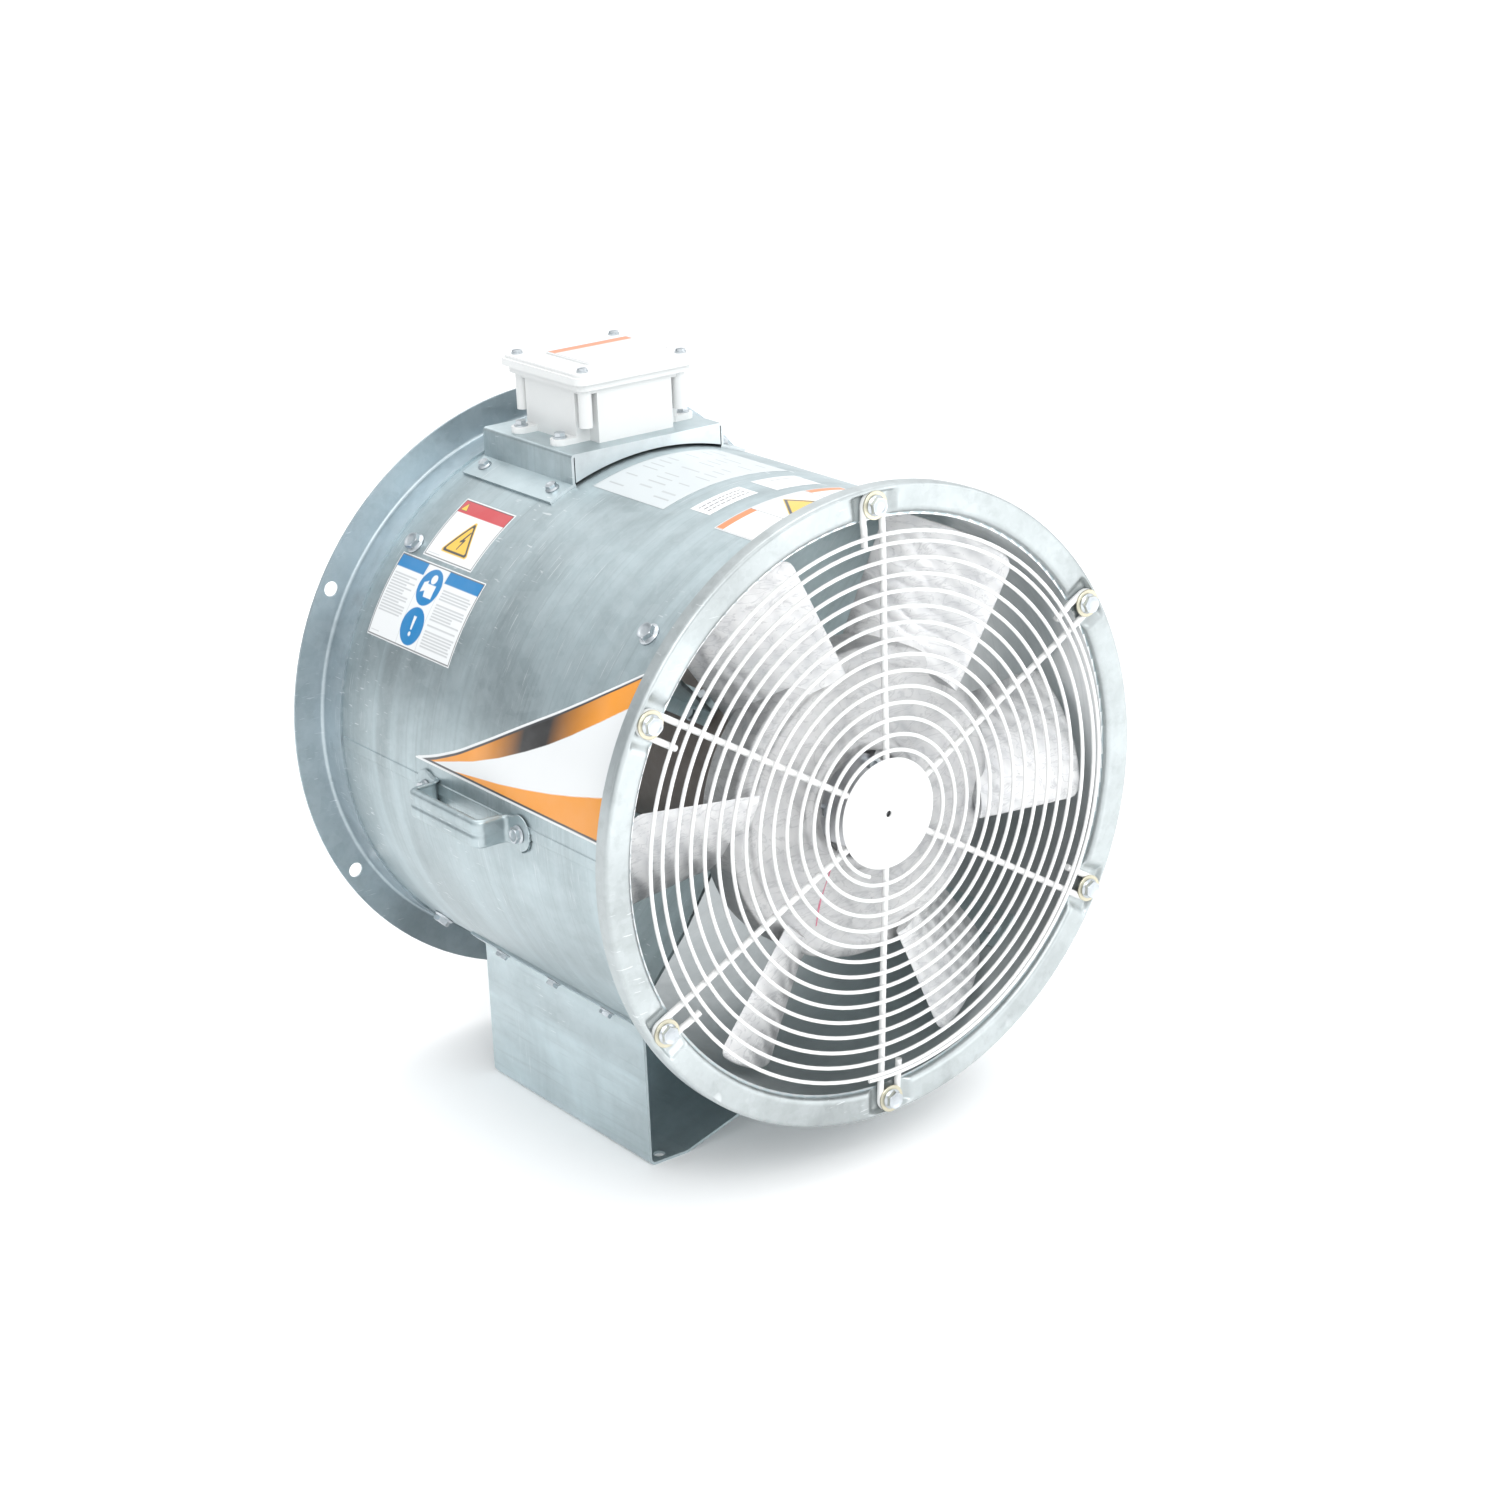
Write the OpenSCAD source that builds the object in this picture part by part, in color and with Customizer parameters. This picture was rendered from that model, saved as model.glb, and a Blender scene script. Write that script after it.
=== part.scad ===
// In-line axial fan: rolled sheet housing, wire inlet guard, cast wheel on a
// motor held by four radial vanes, sheet base, two carry handles, wiring box.
// Millimetres. +Z up, fan axis along Y, inlet towards -Y, origin on the floor
// under the middle of the whole object.
$fn = 64;

/* [Housing] */
// Inside radius of the rolled housing tube
bore_r = 228.6; // [227:0.1:230]
// Thickness of the housing sheet
sheet = 1.9; // [1.5:0.1:2.2]
// Length from the inlet face to the outlet flange face
fan_len = 447; // [440:1:460]
// Height of the fan axis above the floor
axis_h = 295; // [285:1:305]

/* [Inlet ring] */
// Outer radius of the inlet ring
inlet_r = 253.7; // [252:0.1:256]
// Depth of the turned-back hem
hem_depth = 13; // [10:1:16]
// Depth of the pressed pocket under each guard bolt
pocket_depth = 5; // [4.8:0.1:5.4]

/* [Outlet flange] */
// Outer radius of the outlet flange
outlet_r = 258.6; // [256:0.1:262]
// Pitch circle diameter of the outlet bolt holes
outlet_pcd = 494; // [490:1:496]
// Diameter of the outlet bolt holes
outlet_hole_d = 12.7; // [10:0.1:13]

/* [Guard] */
// Radius of the guard bolt circle
guard_pcr = 240.6; // [240:0.1:241]
// Wire diameter of the guard spokes
spoke_d = 5.2; // [5:0.1:5.4]
// Wire diameter of the guard spiral
wire_d = 3.1; // [2.6:0.1:3.4]
// Spacing of the spiral turns
spiral_pitch = 12.3; // [12:0.1:12.6]
// Diameter of the centre disc
disc_d = 88; // [84:1:90]

/* [Fan wheel] */
// Radius of the blade tips
tip_r = 221; // [218:0.5:222]
// Radius of the hub
hub_r = 125; // [122:0.5:126]
// Number of blades
blades = 6; // [5:1:7]
// Width of a blade measured round the wheel
blade_t = 86; // [78:1:90]
// Depth of a blade along the axis
blade_a = 50; // [30:1:54]

/* [Base] */
// Half width of the base over its side panels
base_hw = 151.5; // [149:0.5:154]
// Length of the base along the fan axis
base_len = 229; // [220:1:236]
// Thickness of the base sheet
base_t = 2.3; // [2:0.1:2.6]

/* [Wiring box] */
// Sideways offset of the wiring box from the axis
box_off = -8; // [-10:1:-6]
// Width of the wiring box body
box_w = 98; // [96:1:100]
// Height of the wiring box body
box_h = 50; // [46:1:54]

/* [Motor] */
// Outer radius of the motor frame
motor_r = 84; // [83.5:0.1:84.5]
// Shaft diameter in the hub
shaft_d = 22.2; // [22:0.1:22.4]

/* [Hidden] */
front_z = 8.3;                      // how far the guard disc stands out
ysh = -(fan_len - front_z) / 2;      // centres the object on Y
out_r = bore_r + sheet;             // outside of the housing tube
base_y = 231.5;                     // middle of the base along the fan axis
box_y = 343;                        // middle of the wiring box along the axis
plate_z = 241.9;                    // top of the box bracket above the axis
plate_t = 2.3;
hook_r = 8.5;                       // centre-line radius of the spoke hooks
spoke_turn = asin(hook_r / guard_pcr);
spoke_z0 = -pocket_depth + spoke_d / 2;
vane_ang = [45, 135, 225, 315];
vane_bolt_y = [61.4, 391];
base_scr_a = [227.2, 312.8];
base_scr_y = [base_y - 76, base_y, base_y + 76];
handle_y = [148.5, 282.5];
scr_y = [box_y - 50, box_y + 50];
foot_l = 113.2;                     // polar angle of the left bracket screws
foot_r = 71.3;                      // polar angle of the right bracket screws
galv = [0.74, 0.79, 0.81];
zinc = [0.80, 0.82, 0.83];
alu = [0.80, 0.80, 0.81];
steel = [0.60, 0.61, 0.63];
whitep = [0.94, 0.94, 0.93];

// ---- helpers -------------------------------------------------------------
// Fan frame: x to the right, y up, z out of the inlet, zero on the inlet face.
module fan() translate([0, ysh, axis_h]) rotate([90, 0, 0]) children();
// Cylinder along the fan axis from depth ya to depth yb.
module cyl(r, ya, yb) translate([0, 0, -yb]) cylinder(r = r, h = yb - ya);
// Ring along the fan axis.
module ring(r0, r1, ya, yb) difference() { cyl(r1, ya, yb); cyl(r0, ya - 1, yb + 1); }
// Moves the children's +z axis onto the radius at polar angle a, depth y.
module radial(a, y, r = 0) rotate([0, 0, a]) translate([0, 0, -y]) rotate([0, 90, 0]) translate([0, 0, r]) children();
// Hexagon across flats af.
module hex(af, h) cylinder(r = af / sqrt(3), h = h, $fn = 6);
// Part of an annulus between two polar angles, 2D.
module sector(r0, r1, a0, a1) intersection() {
  difference() { circle(r1); circle(r0); }
  polygon([[0, 0], [2 * r1 * cos(a0), 2 * r1 * sin(a0)],
    [2 * r1 * cos((a0 + a1) / 2), 2 * r1 * sin((a0 + a1) / 2)],
    [2 * r1 * cos(a1), 2 * r1 * sin(a1)]]);
}
// Arc strip along the fan axis.
module strip(r0, r1, a0, a1, ya, yb) translate([0, 0, -yb]) linear_extrude(yb - ya) sector(r0, r1, a0, a1);
// Hex flange screw, head on the plane z = 0, shank along -z.
module screw(af, hh, fd, ft, d, l) {
  cylinder(d = fd, h = ft);
  translate([0, 0, ft]) hex(af, hh);
  translate([0, 0, -l]) cylinder(d = d, h = l);
}
// Half turn or part turn of wire in the plane, start angle a, sweep s.
module arc_wire(rad, d, a, s) rotate([0, 0, a]) rotate_extrude(angle = s) translate([rad, 0]) circle(d = d, $fn = 32);
// Box with round vertical edges, centred in x and y.
module rbox(w, l, h, r) linear_extrude(h) {
  square([w - 2 * r, l], center = true);
  square([w, l - 2 * r], center = true);
  for (i = [-1, 1], j = [-1, 1]) translate([i * (w / 2 - r), j * (l / 2 - r)]) circle(r);
}

// ---- housing -------------------------------------------------------------
module wall_holes() {
  for (a = vane_ang, y = vane_bolt_y) radial(a, y, 200) cylinder(d = 8, h = 60);
  for (a = base_scr_a, y = base_scr_y) radial(a, y, 200) cylinder(d = 6.4, h = 60);
  for (y = handle_y, a = [0, 180]) radial(a, y, 200) cylinder(d = 6.4, h = 60);
  for (a = [foot_l, foot_r], y = scr_y) radial(a, y, 200) cylinder(d = 4.8, h = 60);
  translate([box_off, 200, -box_y]) rotate([-90, 0, 0]) cylinder(d = 26.4, h = 60);
}
module housing_tube() color(galv) fan() difference() {
  ring(bore_r, out_r, pocket_depth + 0.1, fan_len - 1.9);
  wall_holes();
}
module square_at(r0, r1, ya, yb) translate([r0, -yb]) square([r1 - r0, yb - ya]);
// Quarter of a bend, centred at radius r and depth y, in quadrant q.
module quarter(r, y, r0, r1, q) translate([r, -y]) rotate(q) difference() {
  intersection() { circle(r1); square([r1 + 1, r1 + 1]); }
  circle(r0);
}
// Section of the inlet ring before pressing: hem, thick face, bend and collar.
module inlet_section() {
  square_at(inlet_r - sheet, inlet_r, 3, hem_depth);
  quarter(inlet_r - 3, 3, 0.01, 3, 0);
  square_at(out_r + 5, inlet_r - 2.9, 0, pocket_depth + sheet);
  square_at(inlet_r - 3, inlet_r - 1, 3, pocket_depth + sheet);
  quarter(out_r + 5, 5, 0.01, 5, 90);
  square_at(out_r, out_r + 5.1, 5, pocket_depth + sheet);
  square_at(out_r, out_r + sheet, 6, 30);
}
// What lies behind the sheet between two pockets.
module behind_section() {
  square_at(out_r + 5, inlet_r - 3, sheet, 8);
  square_at(inlet_r - 3, inlet_r - sheet, 3, 8);
  quarter(inlet_r - 3, 3, 0.01, 3 - sheet, 0);
  square_at(out_r + sheet, out_r + 5, 5, 8);
  quarter(out_r + 5, 5, 0.01, 5 - sheet, 90);
}
pk = 3.75;                          // half angle of a pocket
pw = 0.46;                          // angle of a side wall
module inlet_ring() color(galv) fan() difference() {
  rotate_extrude() inlet_section();
  for (k = [0:5]) rotate([0, 0, 30 + 60 * k]) {
    rotate([0, 0, pk + pw]) rotate_extrude(angle = 60 - 2 * (pk + pw)) behind_section();
    rotate([0, 0, -pk]) rotate_extrude(angle = 2 * pk) square_at(200, inlet_r - sheet, -1, pocket_depth);
    translate([guard_pcr, 0, -20]) cylinder(d = 8.6, h = 30);
  }
}
module outlet_flange() color(galv) fan() difference() {
  rotate_extrude() {
    square_at(out_r, out_r + sheet, fan_len - 30, fan_len - 5);
    square_at(out_r + 5, outlet_r, fan_len - sheet, fan_len);
    translate([out_r + 5, -fan_len + 5]) intersection() {
      difference() { circle(5); circle(5 - sheet); }
      translate([-6, -6]) square([6, 6]);
    }
  }
  for (k = [0:5]) rotate([0, 0, 30 + 60 * k]) translate([outlet_pcd / 2, 0, -fan_len - 5]) cylinder(d = outlet_hole_d, h = 20);
}

// ---- base ----------------------------------------------------------------
foot_in = 115;                      // where the foot turns up
mid_hw = 25;                        // half width of the raised middle
rise = (foot_in - mid_hw) * tan(17);
base_a0 = 180 + acos(base_hw / (out_r + base_t));
module base_half() {
  H = axis_h; rb = 6; xo = base_hw; t = base_t;
  difference() {
    translate([-xo, -H + rb]) square([t, H - rb - 160]);
    circle(out_r);
  }
  translate([-xo + rb, -H + rb]) difference() {
    intersection() { circle(rb); translate([-rb - 1, -rb - 1]) square([rb + 1, rb + 1]); }
    circle(rb - t);
  }
  translate([-xo + rb, -H]) square([xo - rb - foot_in, t]);
  polygon([[-foot_in, -H], [-mid_hw, -H + rise], [-mid_hw, -H + rise + t], [-foot_in, -H + t]]);
  translate([-mid_hw, -H + rise]) square([mid_hw, t]);
  sector(out_r, out_r + t, base_a0 - 4.7, base_a0 + 0.3);
}
module base_stand() color(galv) fan() difference() {
  translate([0, 0, -base_y - base_len / 2]) linear_extrude(base_len) {
    base_half();
    mirror([1, 0]) base_half();
  }
  for (a = base_scr_a, y = base_scr_y) radial(a, y, 215) cylinder(d = 6.4, h = 40);
  for (x = [-135.6, 135.6], s = [-1, 1])
    translate([x, -axis_h - 5, -base_y + s * (base_len / 2 - 10)]) rotate([-90, 0, 0]) cylinder(d = 9.5, h = 12);
  // rounded front and rear ends of the two housing flanges
}
module base_screws() color(zinc) fan()
  for (a = base_scr_a, y = base_scr_y) radial(a, y, out_r + base_t) screw(9.5, 3.6, 13, 1, 6.3, 14);
module base_nuts() color(zinc) fan()
  for (a = base_scr_a, y = base_scr_y) radial(a, y, bore_r - 6.62) difference() {
    hex(9.5, 4.6);
    translate([0, 0, -1]) cylinder(d = 6.3, h = 8);
  }

// ---- inlet guard ---------------------------------------------------------
// Height of the spoke centre line and of the spiral above the inlet face.
rise_k = 5.2 / 196;                 // how steeply the guard domes
function spoke_z(r) = spoke_z0 + rise_k * (guard_pcr - r);
function wire_z(r) = spoke_z(r) + spoke_d / 2 + wire_d / 2 - 0.15;
// Spiral of wire laid as half turns whose centres swap sides at every half
// turn, so each half turn runs into the next. All the half turns of one side
// share a centre and are revolved together. The last turn widens slowly and
// ends beside its own start, as the outer hoop.
q_pitch = spiral_pitch / 4;
start_a = -96;                      // polar angle where the outer hoop ends
start_r = 216;                      // radius of the spiral there
hoop_step = 3.5;                    // growth of the radius over the last turn
halves = 27;                        // half turns of the spiral
function half_r(i) = start_r - q_pitch - i * 2 * q_pitch;
end_r = start_r - halves * 2 * q_pitch;
module half_turns(first) rotate_extrude(angle = 180)
  for (i = [first:2:halves - 1]) translate([half_r(i), wire_z(half_r(i))]) circle(d = wire_d);
module guard_spiral() color(whitep) fan() rotate([0, 0, start_a]) {
  translate([q_pitch, 0, 0]) half_turns(0);
  translate([-q_pitch, 0, 0]) rotate([0, 0, 180]) half_turns(1);
  translate([-hoop_step / 4, 0, 0]) rotate([0, 0, 180]) rotate_extrude(angle = 180)
    translate([start_r + hoop_step / 4, wire_z(half_r(0))]) circle(d = wire_d);
  translate([hoop_step / 4, 0, 0]) rotate_extrude(angle = 180)
    translate([start_r + 3 * hoop_step / 4, wire_z(half_r(0))]) circle(d = wire_d);
  // nearly round innermost part
  rotate([0, 0, 180]) rotate_extrude(angle = 147) translate([end_r, wire_z(half_r(halves - 1))]) circle(d = wire_d);
}
module spoke() {
  // the spoke runs along x, its hook bends round the bolt to the left
  tp = guard_pcr * cos(spoke_turn);
  r0 = 14;
  l = (tp - r0) / cos(atan(rise_k));
  translate([tp, 0, spoke_z0]) rotate([0, -90 + atan(rise_k), 0]) cylinder(d = spoke_d, h = l, $fn = 32);
  translate([tp, 0, spoke_z0]) sphere(d = spoke_d, $fn = 32);
  translate([tp, hook_r, spoke_z0]) arc_wire(hook_r, spoke_d, -90, 180);
  translate([tp, 2 * hook_r, spoke_z0]) rotate([0, -90, 0]) cylinder(d = spoke_d, h = 31, $fn = 32);
}
module guard_spokes() color(whitep) fan()
  for (k = [0:5]) rotate([0, 0, 30 + 60 * k - spoke_turn]) spoke();
disc_z = spoke_z(30) + spoke_d / 2 - 0.2;
module guard_disc() color(whitep) fan() difference() {
  translate([0, 0, disc_z]) union() {
    cylinder(d = disc_d, h = 2);
    cylinder(d = disc_d - 1.4, h = front_z - disc_z);
  }
  cylinder(d = 3.2, h = 40);
}
wash_z = spoke_z0 + spoke_d / 2 + 0.05;
module at_guard_bolts() for (k = [0:5]) rotate([0, 0, 30 + 60 * k]) translate([guard_pcr, 0, 0]) children();
module guard_washers() color([0.82, 0.76, 0.50]) fan() at_guard_bolts() translate([0, 0, wash_z]) difference() {
  cylinder(d = 22, h = 1.6);
  translate([0, 0, -1]) cylinder(d = 8.6, h = 4);
}
module guard_bolts() color(zinc) fan() at_guard_bolts() translate([0, 0, wash_z + 1.6]) {
  cylinder(d = 15.4, h = 1.4);
  translate([0, 0, 1.4]) hex(12.7, 7.5 - wash_z - 3);
  translate([0, 0, -18]) cylinder(d = 7.9, h = 18);
}
module guard_nuts() color(zinc) fan() at_guard_bolts() translate([0, 0, -pocket_depth - sheet - 6.8]) difference() {
  hex(12.7, 6.8);
  translate([0, 0, -1]) cylinder(d = 7.9, h = 9);
}

// ---- handles -------------------------------------------------------------
h_t = 2.3;                          // strap thickness
h_out = 30;                         // how far the grip stands off the housing
h_y0 = 134; h_y1 = 297;             // ends of the two pads
h_l0 = 164; h_l1 = 267;             // outer faces of the two legs
// Bent strap seen from above: x outwards from the housing, y along the fan.
module bend(cx, cy, q, r) translate([cx, cy]) rotate(q) difference() {
  intersection() { circle(r); square(r + 1); }
  circle(r - h_t);
}
module strap_half() {
  m = (h_l0 + h_l1) / 2; ro = 7; ri = 3 + h_t;
  translate([0, h_y0]) square([h_t, h_l0 + h_t - ri - h_y0]);
  bend(ri, h_l0 + h_t - ri, 90, ri);
  translate([ri, h_l0]) square([h_out - ri - ro, h_t]);
  bend(h_out - ro, h_l0 + ro, -90, ro);
  translate([h_out - h_t, h_l0 + ro]) square([h_t, m - h_l0 - ro]);
}
module strap() {
  m = (h_l0 + h_l1) / 2;
  strap_half();
  translate([0, 2 * m]) mirror([0, 1]) strap_half();
}
// Handle in its own frame: x outwards, y along the fan, z up.
module handle_body() difference() {
  intersection() {
    union() {
      translate([0, 0, -14]) linear_extrude(28) strap();
      // rolled lips along the grip
      for (s = [-1, 1]) translate([h_out - 6, h_l0 + 8, s > 0 ? 8.5 : -10.5]) cube([4.5, h_l1 - h_l0 - 16, 2]);
    }
    union() {
      translate([3, 100, -10.5]) cube([60, 240, 21]);
      for (y = handle_y) translate([-1, y, 0]) rotate([0, 90, 0]) cylinder(r = 14.5, h = 5);
      for (s = [0, 1]) translate([-1, s > 0 ? handle_y[1] - 24 : handle_y[0], -14]) cube([6, 24, 28]);
    }
  }
  for (y = handle_y) translate([-5, y, 0]) rotate([0, 90, 0]) cylinder(d = 6.4, h = 14);
}
module place_handle(s) translate([s * out_r, ysh, axis_h]) if (s > 0) handle_body(); else mirror([1, 0, 0]) handle_body();
module handle_left() color(galv) place_handle(-1);
module handle_right() color(galv) place_handle(1);
module handle_bolts() color(zinc) fan() for (a = [0, 180], y = handle_y) radial(a, y, out_r + h_t) screw(11.1, 4.2, 14.5, 1.2, 6.3, 13);
module handle_nuts() color(zinc) fan() for (a = [0, 180], y = handle_y) radial(a, y, bore_r - 5.52) difference() {
  hex(11.1, 5.4);
  translate([0, 0, -1]) cylinder(d = 6.3, h = 8);
}

// ---- wiring box ----------------------------------------------------------
br_hw = 74; br_y0 = 278; br_y1 = 408;
module box_bracket() color(galv) fan() difference() {
  union() {
    // top plate with two side walls and two feet, as one bent sheet
    translate([0, 0, -br_y1]) linear_extrude(br_y1 - br_y0) {
      translate([box_off - br_hw + 3, plate_z - plate_t]) square([2 * br_hw - 6, plate_t]);
      for (s = [-1, 1]) translate([box_off + s * (br_hw - 3), plate_z - 3]) intersection() {
        difference() { circle(3); circle(3 - plate_t); }
        translate([s > 0 ? 0 : -4, 0]) square(4);
      }
      difference() {
        for (s = [-1, 1]) translate([box_off + s * (br_hw - plate_t / 2) - plate_t / 2, 190]) square([plate_t, plate_z - 3 - 190]);
        circle(out_r);
      }
      sector(out_r, out_r + plate_t, 110.0, 116.6);
      sector(out_r, out_r + plate_t, 67.9, 74.1);
    }
    // arched front and rear flanges
    for (y = [br_y0, br_y1 - plate_t]) translate([0, 0, -y - plate_t]) linear_extrude(plate_t) difference() {
      translate([box_off - br_hw + 3.2, 214]) square([2 * br_hw - 6.4, plate_z - 214]);
      circle(out_r + 2.2);
    }
  }
  for (a = [foot_l, foot_r], y = scr_y) radial(a, y, 215) cylinder(d = 4.8, h = 40);
  translate([box_off, 200, -box_y]) rotate([-90, 0, 0]) cylinder(d = 26.4, h = 60);
  for (s = [-1, 1], u = [-1, 1]) translate([box_off + s * 60, 200, -box_y + u * 28.5]) rotate([-90, 0, 0]) cylinder(d = 4.6, h = 60);
}
module bracket_screws() color(zinc) fan() for (a = [foot_l, foot_r], y = scr_y) radial(a, y, out_r + plate_t) screw(8, 3.4, 11.5, 1.2, 4.8, 10);
// Wiring box in its own frame: z up from the bracket plate, centre at zero.
module at_box() translate([box_off, ysh + box_y, axis_h + plate_z]) children();
module box_body() difference() {
  union() {
    difference() {
      rbox(box_w, box_w, box_h, 4);
      // stepped corners that clear the lid screws
      for (i = [-1, 1], j = [-1, 1]) translate([i * box_w / 2, j * box_w / 2, -1]) cube([26, 26, 2 * box_h - 16], center = true);
    }
    for (i = [-1, 1], j = [-1, 1]) translate([i * 45.5, j * 45.5, 14]) cylinder(d = 11, h = box_h - 14);
    translate([0, 0, box_h - 5]) rbox(box_w + 12, box_w + 12, 5, 8);
    for (i = [-1, 1], j = [-1, 1]) translate([i * 54, j * 28.5, 2.5]) cube([14, 16, 5], center = true);
    for (i = [-1, 1], j = [-1, 1]) translate([i * 60, j * 28.5, 0]) cylinder(d = 16, h = 5);
  }
  // cavity, a plus shape between the corner columns
  translate([0, 0, 4]) linear_extrude(box_h) {
    square([box_w - 8, 63], center = true);
    square([63, box_w - 8], center = true);
  }
  for (i = [-1, 1], j = [-1, 1]) translate([i * 47.5, j * 47.5, box_h - 22]) cylinder(d = 4.2, h = 30);
  for (i = [-1, 1], j = [-1, 1]) translate([i * 60, j * 28.5, -1]) cylinder(d = 4.6, h = 10);
  translate([0, 0, -1]) cylinder(d = 26.4, h = 8);
  translate([-34, 0, 1]) cylinder(d = 4.2, h = 6);
}
module junction_box() color(whitep) at_box() intersection() {
  box_body();
  translate([-80, -80, 0]) cube([160, 160, 80]);
}
module box_gasket() color([0.25, 0.25, 0.26]) at_box() translate([0, 0, box_h]) difference() {
  rbox(box_w + 8, box_w + 8, 1, 6);
  translate([0, 0, -1]) linear_extrude(4) {
    square([box_w - 10, 61], center = true);
    square([61, box_w - 10], center = true);
  }
  for (i = [-1, 1], j = [-1, 1]) translate([i * 47.5, j * 47.5, -1]) cylinder(d = 5, h = 4);
}
lid_w = box_w + 21;
module box_lid() color(whitep) at_box() translate([0, 0, box_h + 1]) difference() {
  union() {
    rbox(lid_w, lid_w, 6, 9);
    translate([0, 0, 6]) rbox(lid_w - 5, lid_w - 5, 2.5, 8);
    // low pad for the rating label
    translate([8, -1.5, 8.5]) rbox(80, 65, 1.5, 4);
  }
  for (i = [-1, 1], j = [-1, 1]) translate([i * 47.5, j * 47.5, -1]) cylinder(d = 4.6, h = 20);
}
module lid_screws() color(zinc) at_box() for (i = [-1, 1], j = [-1, 1]) translate([i * 47.5, j * 47.5, box_h + 9.5]) difference() {
  union() {
    cylinder(d = 9.4, h = 1.4);
    translate([0, 0, 1.4]) cylinder(d = 8, h = 1.6);
    translate([0, 0, -26]) cylinder(d = 4.2, h = 26);
  }
  translate([-5, -0.6, 1.8]) cube([10, 1.2, 2]);
}
module box_screws() color(zinc) at_box() for (i = [-1, 1], j = [-1, 1]) translate([i * 60, j * 28.5, 5]) screw(8, 3.4, 11.5, 1.2, 4.6, 9);
module wire_nipple() color(zinc) at_box() translate([0, 0, -19]) difference() {
  union() {
    cylinder(d = 26.4, h = 32);
    translate([0, 0, 0]) cylinder(d = 33, h = 3.2);
  }
  translate([0, 0, -1]) cylinder(d = 20.5, h = 40);
}
module nipple_locknuts() color(zinc) at_box() translate([0, 0, 4]) difference() {
  hex(34, 4);
  translate([0, 0, -1]) cylinder(d = 26.4, h = 8);
}
module terminal_block() color([0.15, 0.15, 0.16]) at_box() translate([0, 30, 4]) difference() {
  union() {
    translate([-26, -8, 0]) cube([52, 16, 8]);
    for (i = [-1.5:1:1.5]) translate([i * 13 - 0.8, -8, 8]) cube([1.6, 16, 6]);
    translate([-26, -8, 8]) cube([1.6, 16, 6]);
    translate([24.4, -8, 8]) cube([1.6, 16, 6]);
  }
  for (i = [-1:1:1], j = [-4, 4]) translate([i * 13, j, 4]) cylinder(d = 3.4, h = 10);
}
module ground_screw() color([0.25, 0.55, 0.30]) at_box() translate([-34, 0, 4]) {
  hex(8, 3.6);
  translate([0, 0, -3]) cylinder(d = 4.2, h = 3);
}

// ---- motor lead: down from the box, forward, and into the motor frame ----
lead_d = 11; lead_y1 = 290;
// way points [depth, height above the axis]
lead_path = [[box_y, plate_z + 10], [box_y, 172], [box_y - 12, 146], [lead_y1 + 12, 121], [lead_y1, 98], [lead_y1, motor_r + 1]];
module motor_lead() color([0.07, 0.07, 0.08]) translate([box_off, ysh, axis_h])
  for (i = [0:len(lead_path) - 2]) {
    p = lead_path[i]; q = lead_path[i + 1];
    dy = q[0] - p[0]; dz = q[1] - p[1];
    translate([0, p[0], p[1]]) rotate([atan2(-dy, dz), 0, 0]) cylinder(d = lead_d, h = sqrt(dy * dy + dz * dz));
    if (i > 0) translate([0, p[0], p[1]]) sphere(d = lead_d + 0.1);
  }
module cable_gland() color([0.10, 0.10, 0.11]) translate([box_off, ysh + lead_y1, axis_h]) difference() {
  union() {
    translate([0, 0, motor_r - 6]) cylinder(d = 20, h = 10);
    translate([0, 0, motor_r + 0.2]) hex(24, 6);
    translate([0, 0, motor_r + 6.2]) cylinder(d = 19, h = 8);
  }
  translate([0, 0, motor_r - 10]) cylinder(d = lead_d, h = 40);
}

// ---- motor support vanes ---------------------------------------------------
module vane() {
  strip(bore_r - 1.9, bore_r - 0.03, -4, 4, 48, 404);
  strip(motor_r + 0.02, motor_r + 2.7, -8.5, 8.5, 130, 320);
  // web with raked front edge and a clipped rear corner
  translate([0, -1.35, 0]) rotate([-90, 0, 0]) linear_extrude(2.7)
    polygon([[motor_r + 2, 132], [150, 118], [bore_r - 1, 112], [bore_r - 1, 381], [205, 381], [motor_r + 2, 318]]);
}
module support_vanes() color(galv) fan() difference() {
  for (a = vane_ang) rotate([0, 0, a]) vane();
  for (a = vane_ang, y = vane_bolt_y) radial(a, y, 200) cylinder(d = 8, h = 60);
  for (a = base_scr_a, y = base_scr_y) radial(a, y, 200) cylinder(d = 6.4, h = 60);
  for (a = vane_ang, y = [150, 300], s = [-5.6, 5.6]) radial(a + s, y, 70) cylinder(d = 6.2, h = 30);
}
module vane_bolts() color(zinc) fan() for (a = vane_ang, y = vane_bolt_y) radial(a, y, out_r) screw(12.7, 5, 18, 1.6, 7.9, 7);
module clinch_nuts() color(zinc) fan() for (a = vane_ang, y = vane_bolt_y) radial(a, y, bore_r - 1.9 - 2.72) difference() {
  cylinder(d = 13, h = 2.6);
  translate([0, 0, -1]) cylinder(d = 7.9, h = 5);
}
module vane_motor_bolts() color(zinc) fan() for (a = vane_ang, y = [150, 300], s = [-5.6, 5.6]) radial(a + s, y, motor_r + 2.8) screw(8, 3.2, 10.6, 1, 6, 7.5);

// ---- motor -----------------------------------------------------------------
m_y0 = 90; m_y1 = 345;              // outer faces of the two end bells
shell_i = 78;                       // inside radius of the frame
st_y0 = 152; st_y1 = 272;           // lamination stack
module motor_shell() color([0.36, 0.34, 0.32]) fan() difference() {
  ring(shell_i, motor_r, m_y0 + 6, m_y1 - 6);
  for (a = vane_ang, y = [150, 300], s = [-5.6, 5.6]) radial(a + s, y, 70) cylinder(d = 6, h = 30);
  translate([box_off, 60, -lead_y1]) rotate([-90, 0, 0]) cylinder(d = 20, h = 40);
}
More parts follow.
